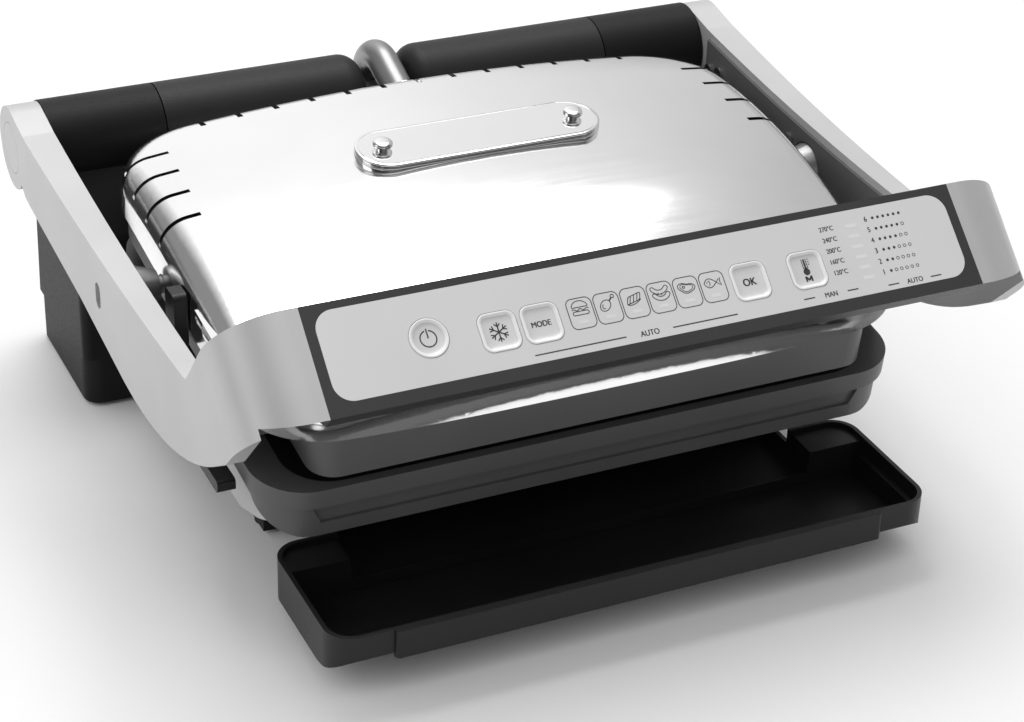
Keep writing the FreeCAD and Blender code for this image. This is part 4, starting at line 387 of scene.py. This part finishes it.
def grid_faces(rows, columns, close_rows=False):
    """Four-cornered faces of a grid of points whose columns close on themselves."""
    r = np.arange(rows if close_rows else rows - 1)[:, None]
    c = np.arange(columns)[None, :]
    s = (r + 1) % rows
    d = (c + 1) % columns
    return np.stack([r * columns + c, r * columns + d, s * columns + d, s * columns + c], -1).reshape(-1, 4)


def outward(points, faces):
    """The faces, turned round if the volume they hold, a sum of triple products, is negative."""
    volume = 0
    for face in faces:
        a = points[np.asarray(face)]
        volume += np.cross(a[1:-1], a[2:]).sum(0) @ a[0]
    return [face[::-1] for face in faces] if volume < 0 else faces


def skin(rings):
    """A closed surface over a stack of closed rings, with a point in the middle of either end."""
    rows, columns = rings.shape[:2]
    points = np.vstack([rings.reshape(-1, 3), rings[0].mean(0), rings[-1].mean(0)])
    c = np.arange(columns)
    d = (c + 1) % columns
    last = (rows - 1) * columns
    foot = np.stack([np.full(columns, rows * columns), d, c], -1)
    crown = np.stack([np.full(columns, rows * columns + 1), last + c, last + d], -1)
    faces = grid_faces(rows, columns).tolist() + foot.tolist() + crown.tolist()
    return points, outward(points, faces)


def level(outline, height):
    """Points across and up, given one height out."""
    return np.column_stack([outline, np.full(len(outline), height)])


def strip(path, width, closed=False, low=INK_SINK, high=INK_HIGH):
    """A band along a path: each point goes half a width to both sides, square to the path there."""
    path = np.asarray(path, float)
    along = np.roll(path, -1, 0) - np.roll(path, 1, 0) if closed else np.gradient(path, axis=0)
    along /= np.linalg.norm(along, axis=1)[:, None]
    side = np.column_stack([-along[:, 1], along[:, 0]]) * width / 2
    corners = [level(path + side, low), level(path + side, high),
               level(path - side, high), level(path - side, low)]
    points = np.stack(corners, 1).reshape(-1, 3)
    faces = grid_faces(len(path), 4, closed).tolist()
    if not closed:
        faces += [[3, 2, 1, 0], list(range(len(points) - 4, len(points)))]
    return points, outward(points, faces)


def plate(outline, low=INK_SINK, high=INK_HIGH):
    """A flat plate between two heights: its outline twice, a wall between, a face on either side."""
    n = len(outline)
    points = np.vstack([level(outline, low), level(outline, high)])
    faces = grid_faces(2, n).tolist() + [list(range(n))[::-1], list(range(n, 2 * n))]
    return points, outward(points, faces)


def oval(half_across, half_up, turn=0, start=0, sweep=360, count=40):
    """Points on an ellipse, or on a stretch of it, turned by an angle: cosine across and sine up."""
    angle = np.radians(start + np.linspace(0, sweep, count, endpoint=sweep < 360))
    flat = np.column_stack([half_across * np.cos(angle), half_up * np.sin(angle)])
    c, s = math.cos(math.radians(turn)), math.sin(math.radians(turn))
    return flat @ np.array([(c, s), (-s, c)])


def rounded(half_across, half_up, corner, count=48):
    """A rounded rectangle: an arc of the corner's radius round the middle of each of its corners."""
    angle = (np.arange(count) + 0.5) * 2 * math.pi / count
    arc = np.column_stack([np.cos(angle), np.sin(angle)])
    return arc * corner + np.sign(arc) * (half_across - corner, half_up - corner)


def moved(shape, across, up, out=0):
    """A shape set off by some millimetres."""
    points, faces = shape
    return points + (across, up, out), faces


def joined(shapes):
    """Several closed shapes as one array of points and one list of faces."""
    starts = np.cumsum([0] + [len(points) for points, _ in shapes])
    faces = [[i + start for i in face] for (_, some), start in zip(shapes, starts) for face in some]
    return np.vstack([points for points, _ in shapes]), faces


print("corners of a key outline:", len(rounded(8, 8, 4)))

# %% [markdown]
# Numbers, OK and the like are real letters. Blender's text object fills the outlines of its
# font, so each word is made as text, turned into a mesh once, and scaled to the height that the
# print has. Swelling the outlines for a bold print clogs an M, so the word is struck twice, a
# little apart. The text object itself is thrown away.

# %% Set the words
CAPITAL = 0.7
FONT_DEPTH = 0.05
SAME_POINT = 1e-5


def word(text, height, bold=0.12, narrow=0.9):
    """A word as closed plates, its middle at nought: each letter scaled to a capital's height."""
    curve = bpy.data.curves.new("word", "FONT")
    curve.body = text
    curve.extrude = FONT_DEPTH
    holder = bpy.data.objects.new("word", curve)
    scene.collection.objects.link(holder)
    bpy.context.view_layer.update()
    evaluated = holder.evaluated_get(bpy.context.evaluated_depsgraph_get())
    mesh = bpy.data.meshes.new_from_object(evaluated)
    shell = bmesh.new()
    shell.from_mesh(mesh)
    bmesh.ops.remove_doubles(shell, verts=shell.verts, dist=SAME_POINT)
    bmesh.ops.triangulate(shell, faces=shell.faces)
    points = np.array([v.co for v in shell.verts])
    faces = [[v.index for v in f.verts] for f in shell.faces]
    shell.free()
    bpy.data.objects.remove(holder)
    bpy.data.curves.remove(curve)
    bpy.data.meshes.remove(mesh)
    low, high = points.min(0), points.max(0)
    scale = height / CAPITAL
    points = (points - (low + high) / 2) * (scale * narrow, scale, 1)
    points[:, 2] = np.where(points[:, 2] > 0, INK_HIGH, INK_SINK)
    return joined([moved((points, faces), -bold / 2, 0), moved((points, faces), bold / 2, 0)])


sample = word("OK", 3)[0]
print("OK in mm:", (sample.max(0) - sample.min(0)).round(2))

# %% [markdown]
# Each key is a thin silver cap in its hole: a rounded square with a raised rim round a
# shallow dish, and one round cap on the left. The rim is painted lighter than the dish, a painted
# highlight where the raised rim catches the light. A bevelled block would have the rim but no dish.
# Here a profile in millimetres says how far in and how high each ring of the cap lies. Carried
# round the outline, it gives rim, slope and dish in one surface.

# %% Mould the key caps
KEY_HALF = 8.0
KEY_CORNER = 4.0
RIM_INSET = 1.6
KEY_PROFILE = np.array([
    (-0.75, -5.1), (-0.75, -3.92), (0, -3.9), (0, -0.1), (0.12, 0.2), (0.45, 0.34), (0.85, 0.26),
    (1.2, -0.05), (RIM_INSET, -0.4), (2.2, -0.62), (3.2, -0.74), (4.6, -0.8), (7.6, -0.84)])
KEY_FACE = KEY_PROFILE[-1, 1]
KEY_POINTS = 96
RIM_ROWS = (3, 7)
CREASE = math.radians(40)


def key_cap(corner):
    """Rings of the outline, each shrunk by its inset; past the rim the corner shrinks in proportion."""
    rings = []
    for inset, height in KEY_PROFILE:
        half = KEY_HALF - inset
        rim_corner = corner - min(inset, RIM_INSET)
        bend = rim_corner if inset <= RIM_INSET else rim_corner * half / (KEY_HALF - RIM_INSET)
        rings.append(level(rounded(half, half, bend, KEY_POINTS), height))
    return skin(np.array(rings))


def piece(name, shape, axes, middle, paint, body, replaced=()):
    """One smooth-shaded piece laid in place, riding on a body, in the stead of some nodes."""
    points, faces = shape
    made = put(name, laid(points, axes, middle), faces, paint)
    made.data.shade_smooth()
    made.data.set_sharp_from_angle(angle=CREASE)
    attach(made, body)
    if replaced:
        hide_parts(*replaced)
    return made


KEYS = ("power", "defrost", "mode", "ok", "manual")
key_middles = {}
for name in KEYS:
    button = f"{name}_button"
    key_low, key_high = reach(button, PANEL)
    middle = np.array([*(key_low + key_high)[:2] / 2, foil_high[2]])
    cap = key_cap(KEY_HALF if name == "power" else KEY_CORNER)
    made = piece(f"{name}_cap", cap, PANEL, middle, paints["key"], f"{name}_key", [button])
    # the rim rows take the lighter finish, a painted highlight on the raised rim
    made.data.materials.append(paints["key_rim"])
    row = np.arange(len(made.data.polygons)) // KEY_POINTS
    painted_highlight_rim = (row >= RIM_ROWS[0]) & (row <= RIM_ROWS[1])
    made.data.polygons.foreach_set("material_index", painted_highlight_rim.astype(int))
    key_middles[name] = middle
    print(name, "key at mm:", (1000 * middle).round(1))

# %% [markdown]
# The signs stand in dark ink on the dish of each key: a power sign, a snowflake, a word, OK, and
# a thermometer over an M. They could be one print over the whole panel, but then they would hang
# in the air when a key goes down. So each sign is a few strips and arcs that ride on its own key.

# %% Print the signs on the keys
LINE = 0.5
SIGN_LIFT = 0.06


def stroke(start, end, width=LINE):
    """A straight strip between two points."""
    return strip(np.linspace(start, end, 3), width)


def snowflake(length=4.0, branch=1.25):
    """Six arms a sixth of a turn apart, each with two branches, from 0.55 of the arm's length on."""
    marks = []
    for turn in np.arange(6) * math.pi / 3 + math.pi / 2:
        out = np.array([math.cos(turn), math.sin(turn)])
        side = np.array([-out[1], out[0]])
        marks.append(stroke(out * 0.1, out * length, LINE))
        for hand in (-1, 1):
            tip = out * 0.86 * length + side * hand * branch
            marks.append(stroke(out * 0.55 * length, tip, LINE * 0.9))
    return marks


def thermometer():
    """A dark stem with a bulb in a thin outline, and three ticks beside it."""
    stem = strip(np.linspace((0, 0.6), (0, 5.4), 3), 0.8)
    crown = oval(0.95, 0.95, start=0, sweep=180, count=9) + (0, 5.6)
    glass = strip(np.vstack([crown, [(-0.95, 1.5), (0.95, 1.5)]]), 0.32, True)
    ticks = [stroke((1.5, up), (2.2, up), 0.32) for up in (3.0, 4.1, 5.2)]
    bulb = plate(oval(1.45, 1.45))
    return [stem, glass, bulb, *ticks]


signs = {
    "power": [strip(oval(3.3, 3.3, start=104, sweep=332), LINE), stroke((0, 0.2), (0, 4.1))],
    "defrost": snowflake(),
    "mode": [word("MODE", 2.3, bold=0.16)],
    "ok": [word("OK", 3.1, bold=0.24)],
    "manual": [moved(word("M", 3.5, bold=0.36), 0, -4.2),
               *(moved(mark, 0, -0.6) for mark in thermometer())],
}
for name, marks in signs.items():
    shape = moved(joined(marks), 0, 0, KEY_FACE + SIGN_LIFT)
    piece(f"{name}_sign", shape, PANEL, key_middles[name], paints["ink"], f"{name}_key")
print("signs:", {name: len(marks) for name, marks in signs.items()})

# %% [markdown]
# Between the keys stand six small windows, each with the outline of a dish to grill and a paler
# spot over its lamp. An icon font would be quick, but its shapes can't be mended. These common
# dishes are drawn with a few ellipses, arcs and waves, whose formulas can be changed one by one.

# %% Draw the six dishes
FINE = 0.34


def waved(start, end, rise, waves, count=24):
    """A line from start to end that rises and falls as a sine."""
    share = np.linspace(0, 1, count)
    flat = np.outer(1 - share, start) + np.outer(share, end)
    flat[:, 1] += rise * np.sin(2 * math.pi * waves * share)
    return flat


def burger():
    """A dome of half an ellipse, a wavy leaf, and a flat bun below."""
    dome = oval(3.4, 2.6, start=0, sweep=180, count=20) + (0, 0.9)
    leaf = waved((-3.6, -0.1), (3.6, -0.1), 0.35, 2.5)
    bun = rounded(3.4, 0.75, 0.7) + (0, -1.55)
    return [strip(dome, FINE, True), strip(leaf, FINE), strip(bun, FINE, True)]


def drumstick():
    """An ellipse of meat with an arc in it, a straight bone, and a small ring for its end."""
    meat_middle = (-0.8, -0.6)
    meat = oval(2.6, 1.9, turn=40) + meat_middle
    gloss = oval(1.5, 1.0, turn=40, start=100, sweep=130, count=14) + meat_middle
    knob = oval(0.7, 0.7) + (3.0, 2.7)
    return [strip(meat, FINE, True), stroke((1.3, 1.1), (2.6, 2.3), 0.6), strip(knob, FINE, True),
            strip(gloss, FINE)]


def toast():
    """A leaning slice, a rounded parallelogram with three grill bars, and an arc behind it."""
    lean = np.array([(1, 0.25), (0.25, 0.8)])
    slice_outline = rounded(2.9, 1.9, 0.8) @ lean
    behind = oval(3.3, 2.2, start=195, sweep=140) @ lean + (0.1, -0.6)
    bars = [stroke((x - 0.6, -1.5 + x * 0.25), (x + 0.4, 1.3 + x * 0.25), FINE) for x in (-1.6, 0, 1.6)]
    return [strip(slice_outline, FINE, True), strip(behind, FINE), *bars]


def sausages():
    """Two bent capsules: an outline at a steady distance from an arc, with two cuts."""
    bend, half_thick = 3.6, 0.85
    first, last = 215, 325
    arc = oval(1, 1, start=first, sweep=last - first, count=16)
    far_end = oval(half_thick, half_thick, start=last, sweep=180, count=9) + bend * arc[-1]
    near_end = oval(half_thick, half_thick, start=first - 180, sweep=180, count=9) + bend * arc[0]
    outer, inner = arc * (bend + half_thick), arc[::-1] * (bend - half_thick)
    outline = np.vstack([outer, far_end[1:-1], inner, near_end[1:-1]])
    capsules = [strip(outline + place, FINE, True) for place in ((0, 4.1), (0.3, 1.4))]
    cuts = [stroke((x, -0.9 + abs(x) * 0.3), (x + 0.5, -0.1 + abs(x) * 0.3), FINE) for x in (-1.2, 0.3)]
    return capsules + cuts


def steak():
    """A closed curve whose distance from the middle swells in two waves, with a bone ring in it."""
    angle = np.radians(np.linspace(0, 360, 48, endpoint=False))
    wide = 2.7 + 0.5 * np.cos(2 * angle + 0.6) + 0.35 * np.cos(3 * angle - 0.9)
    rim = np.column_stack([wide * np.cos(angle) * 1.15, wide * np.sin(angle) * 0.85])
    meat = rim * 0.74 + (0.05, 0.1)
    bone = oval(0.55, 0.42) + (-1.1, 0.5)
    return [strip(rim, FINE, True), strip(meat, FINE * 0.8, True), strip(bone, FINE, True)]


def fish():
    """A body whose half width is a stretched sine, a tail of six corners, an eye and a gill."""
    share = np.linspace(0, 1, 24)
    across = -3.6 + 5.4 * share
    swell = 1.9 * np.sin(math.pi * share ** 0.8)
    body = np.vstack([np.column_stack([across, swell]), np.column_stack([across, -swell])[::-1][1:-1]])
    tail = np.array([(1.75, 0), (2.8, 1.0), (3.7, 1.6), (3.3, 0), (3.7, -1.6), (2.8, -1.0)])
    eye = oval(0.28, 0.28) + (-2.3, 0.35)
    gill = oval(0.9, 1.15, start=-70, sweep=140, count=12) + (-2.0, 0)
    return [strip(body, FINE, True), strip(tail, FINE, True), plate(eye), strip(gill, FINE)]


DISHES = (burger, drumstick, toast, sausages, steak, fish)
print("dishes:", [dish.__name__ for dish in DISHES])

# %% [markdown]
# The foil also carries the window outlines, rules with a word between them, five temperatures,
# and a scale of doneness as numbers with dots. The lamps are paler plates of the same kind. Each
# mark could be an object of its own, but they never part, so all the ink is one piece and all
# the lamps are another.

# %% Plan the print on the foil
WINDOW_FIRST, WINDOW_PITCH, WINDOW_UP = -33.3, 11.62, -1.3
WINDOW_HALF, WINDOW_HALF_UP, WINDOW_CORNER = 5.35, 6.3, 2.6
DISH_UP, WINDOW_LAMP_DOWN = 1.7, 3.6
RULE_UP, RULE_WORD = -14.3, -8
RULES = ((-57.2, -18.2), (2.2, 31))
TEMPERATURES = (270, 240, 200, 160, 120)
TEMPERATURE_ACROSS, TEMPERATURE_FIRST, TEMPERATURE_PITCH = 81.7, 13.3, 4.75
LEVEL_FIRST, LEVEL_PITCH, LEVELS = 12.6, 4.56, 6
LEVEL_LAMP, LEVEL_NUMBER = 93.1, 100.6
WINDOW_LAMP_SHAPE, LEVEL_LAMP_SHAPE = (2.1, 0.7, 0.5), (2.6, 0.8, 0.5)
ROW_LIFT, ROW_CLOSING = 1.6, 0.14
DOT_FIRST, DOT_PITCH, DOT_RADIUS, DOT_LINE = 104.0, 2.5, 0.62, 0.25
GROUP_WORDS = ((74, -14, "MAN"), (113, -15.2, "AUTO"))
DASH_START, DASH_END = 7.6, 12.6
print("windows to mm:", WINDOW_FIRST + WINDOW_PITCH * (len(DISHES) - 1))

# %% Print the foil
ink = []
lamps = []
for place, dish in enumerate(DISHES):
    middle = WINDOW_FIRST + WINDOW_PITCH * place
    window = rounded(WINDOW_HALF, WINDOW_HALF_UP, WINDOW_CORNER)
    ink.append(moved(strip(window, FINE, True), middle, WINDOW_UP))
    ink.append(moved(joined(dish()), middle, WINDOW_UP + DISH_UP))
    lamps.append(moved(plate(rounded(*WINDOW_LAMP_SHAPE)), middle, WINDOW_UP - WINDOW_LAMP_DOWN))
ink += [stroke((start, RULE_UP), (end, RULE_UP)) for start, end in RULES]
ink.append(moved(word("AUTO", 2.3), RULE_WORD, RULE_UP - 0.1))
for place, degrees in enumerate(TEMPERATURES):
    up = TEMPERATURE_FIRST - TEMPERATURE_PITCH * place
    ink.append(moved(word(f"{degrees}°C", 2.0), TEMPERATURE_ACROSS, up))
for place in range(LEVELS):
    up = LEVEL_FIRST - LEVEL_PITCH * place
    lamps.append(moved(plate(rounded(*LEVEL_LAMP_SHAPE)), LEVEL_LAMP, up))
    row = up + ROW_LIFT - ROW_CLOSING * place
    ink.append(moved(word(str(LEVELS - place), 2.2), LEVEL_NUMBER, row))
    for dot in range(LEVELS):
        spot = oval(DOT_RADIUS, DOT_RADIUS, count=20) + (DOT_FIRST + DOT_PITCH * dot, row)
        ink.append(plate(spot) if dot < LEVELS - place else strip(spot, DOT_LINE, True))
for middle, up, text in GROUP_WORDS:
    ink.append(moved(word(text, 2.1), middle, up))
    ink += [stroke((middle + hand * DASH_START, up), (middle + hand * DASH_END, up)) for hand in (-1, 1)]
piece("panel_print", joined(ink), PANEL, panel_middle, paints["ink"], "handle")
piece("panel_lamps", joined(lamps), PANEL, panel_middle, paints["lamp"], "handle")
print("printed shapes:", len(ink), "lamps:", len(lamps))

# %% [markdown]
# On the lid sits a bright, blank plate. It is a long pill with stepped, grooved edges, so that
# its rim shows thin dark and light lines. A bevelled box would give one line only; a profile of
# insets and heights, carried round the pill, gives them all.

# %% Raise the plate on the lid
DECK_TILT = math.radians(7)
tilt_cos, tilt_sin = math.cos(DECK_TILT), math.sin(DECK_TILT)
DECK = np.array([(1, 0, 0), (0, tilt_cos, tilt_sin), (0, -tilt_sin, tilt_cos)])
plate_low, plate_high = reach("nameplate", DECK)
pill_middle = np.array([0, (plate_low[1] + plate_high[1]) / 2, plate_high[2]])
PILL_LONG, PILL_WIDE = 500 * (plate_high - plate_low)[:2]
PILL_PROFILE = np.array([
    (0.6, -5.6), (0.1, -5.4), (0, -3.4), (0, -2.5), (0.25, -2.2), (0.8, -2.1), (0.85, -1.75),
    (0.3, -1.65), (0.08, -1.4), (0.1, -0.5), (0.3, -0.16), (0.7, 0), (1.35, 0), (1.45, -0.14),
    (1.75, -0.14), (1.85, 0), (4, 0)])
PILL_POINTS = 160


def pill(inset, height):
    """One ring of the pill: its straight sides and round ends drawn in by an inset."""
    outline = rounded(PILL_LONG - inset, PILL_WIDE - inset, PILL_WIDE - inset, PILL_POINTS)
    return level(outline, height)


rings = np.array([pill(inset, height) for inset, height in PILL_PROFILE])
piece("badge", skin(rings), DECK, pill_middle, paints["chrome"], "lid", ["nameplate"])
print("plate in mm:", (2 * PILL_LONG).round(1), "by", (2 * PILL_WIDE).round(1))

# %% [markdown]
# Two studs hold the plate. Each is turned on a lathe: a neck with a groove, then a domed head.
# A cylinder with a sphere on it would show a seam. A lathe shape is a profile of radius and
# height spun in equal steps, here as rings of one skin.

# %% Turn the studs
STUD_PROFILE = np.array([
    (2.7, -4.0), (2.7, -3.3), (3.1, -3.1), (3.1, -2.9), (2.8, -2.8), (2.8, -2.5), (4.2, -2.35),
    (4.5, -2.1), (4.5, -1.3), (4.35, -0.9), (3.9, -0.5), (3.1, -0.2), (2.0, -0.05), (0.8, 0)])
STUD_POINTS = 32
stud_low, stud_high = reach("nameplate_studs", DECK)
STUD_REACH = 1000 * stud_high[0] - STUD_PROFILE[:, 0].max()
stud_middle = np.array([0, (stud_low[1] + stud_high[1]) / 2, stud_high[2]])
rings = [level(oval(radius, radius, count=STUD_POINTS), height) for radius, height in STUD_PROFILE]
stud = skin(np.array(rings))
studs = joined([moved(stud, hand * STUD_REACH, 0) for hand in (-1, 1)])
piece("badge_studs", studs, DECK, stud_middle, paints["chrome"], "lid", ["nameplate_studs"])
print("studs at mm:", STUD_REACH.round(1))
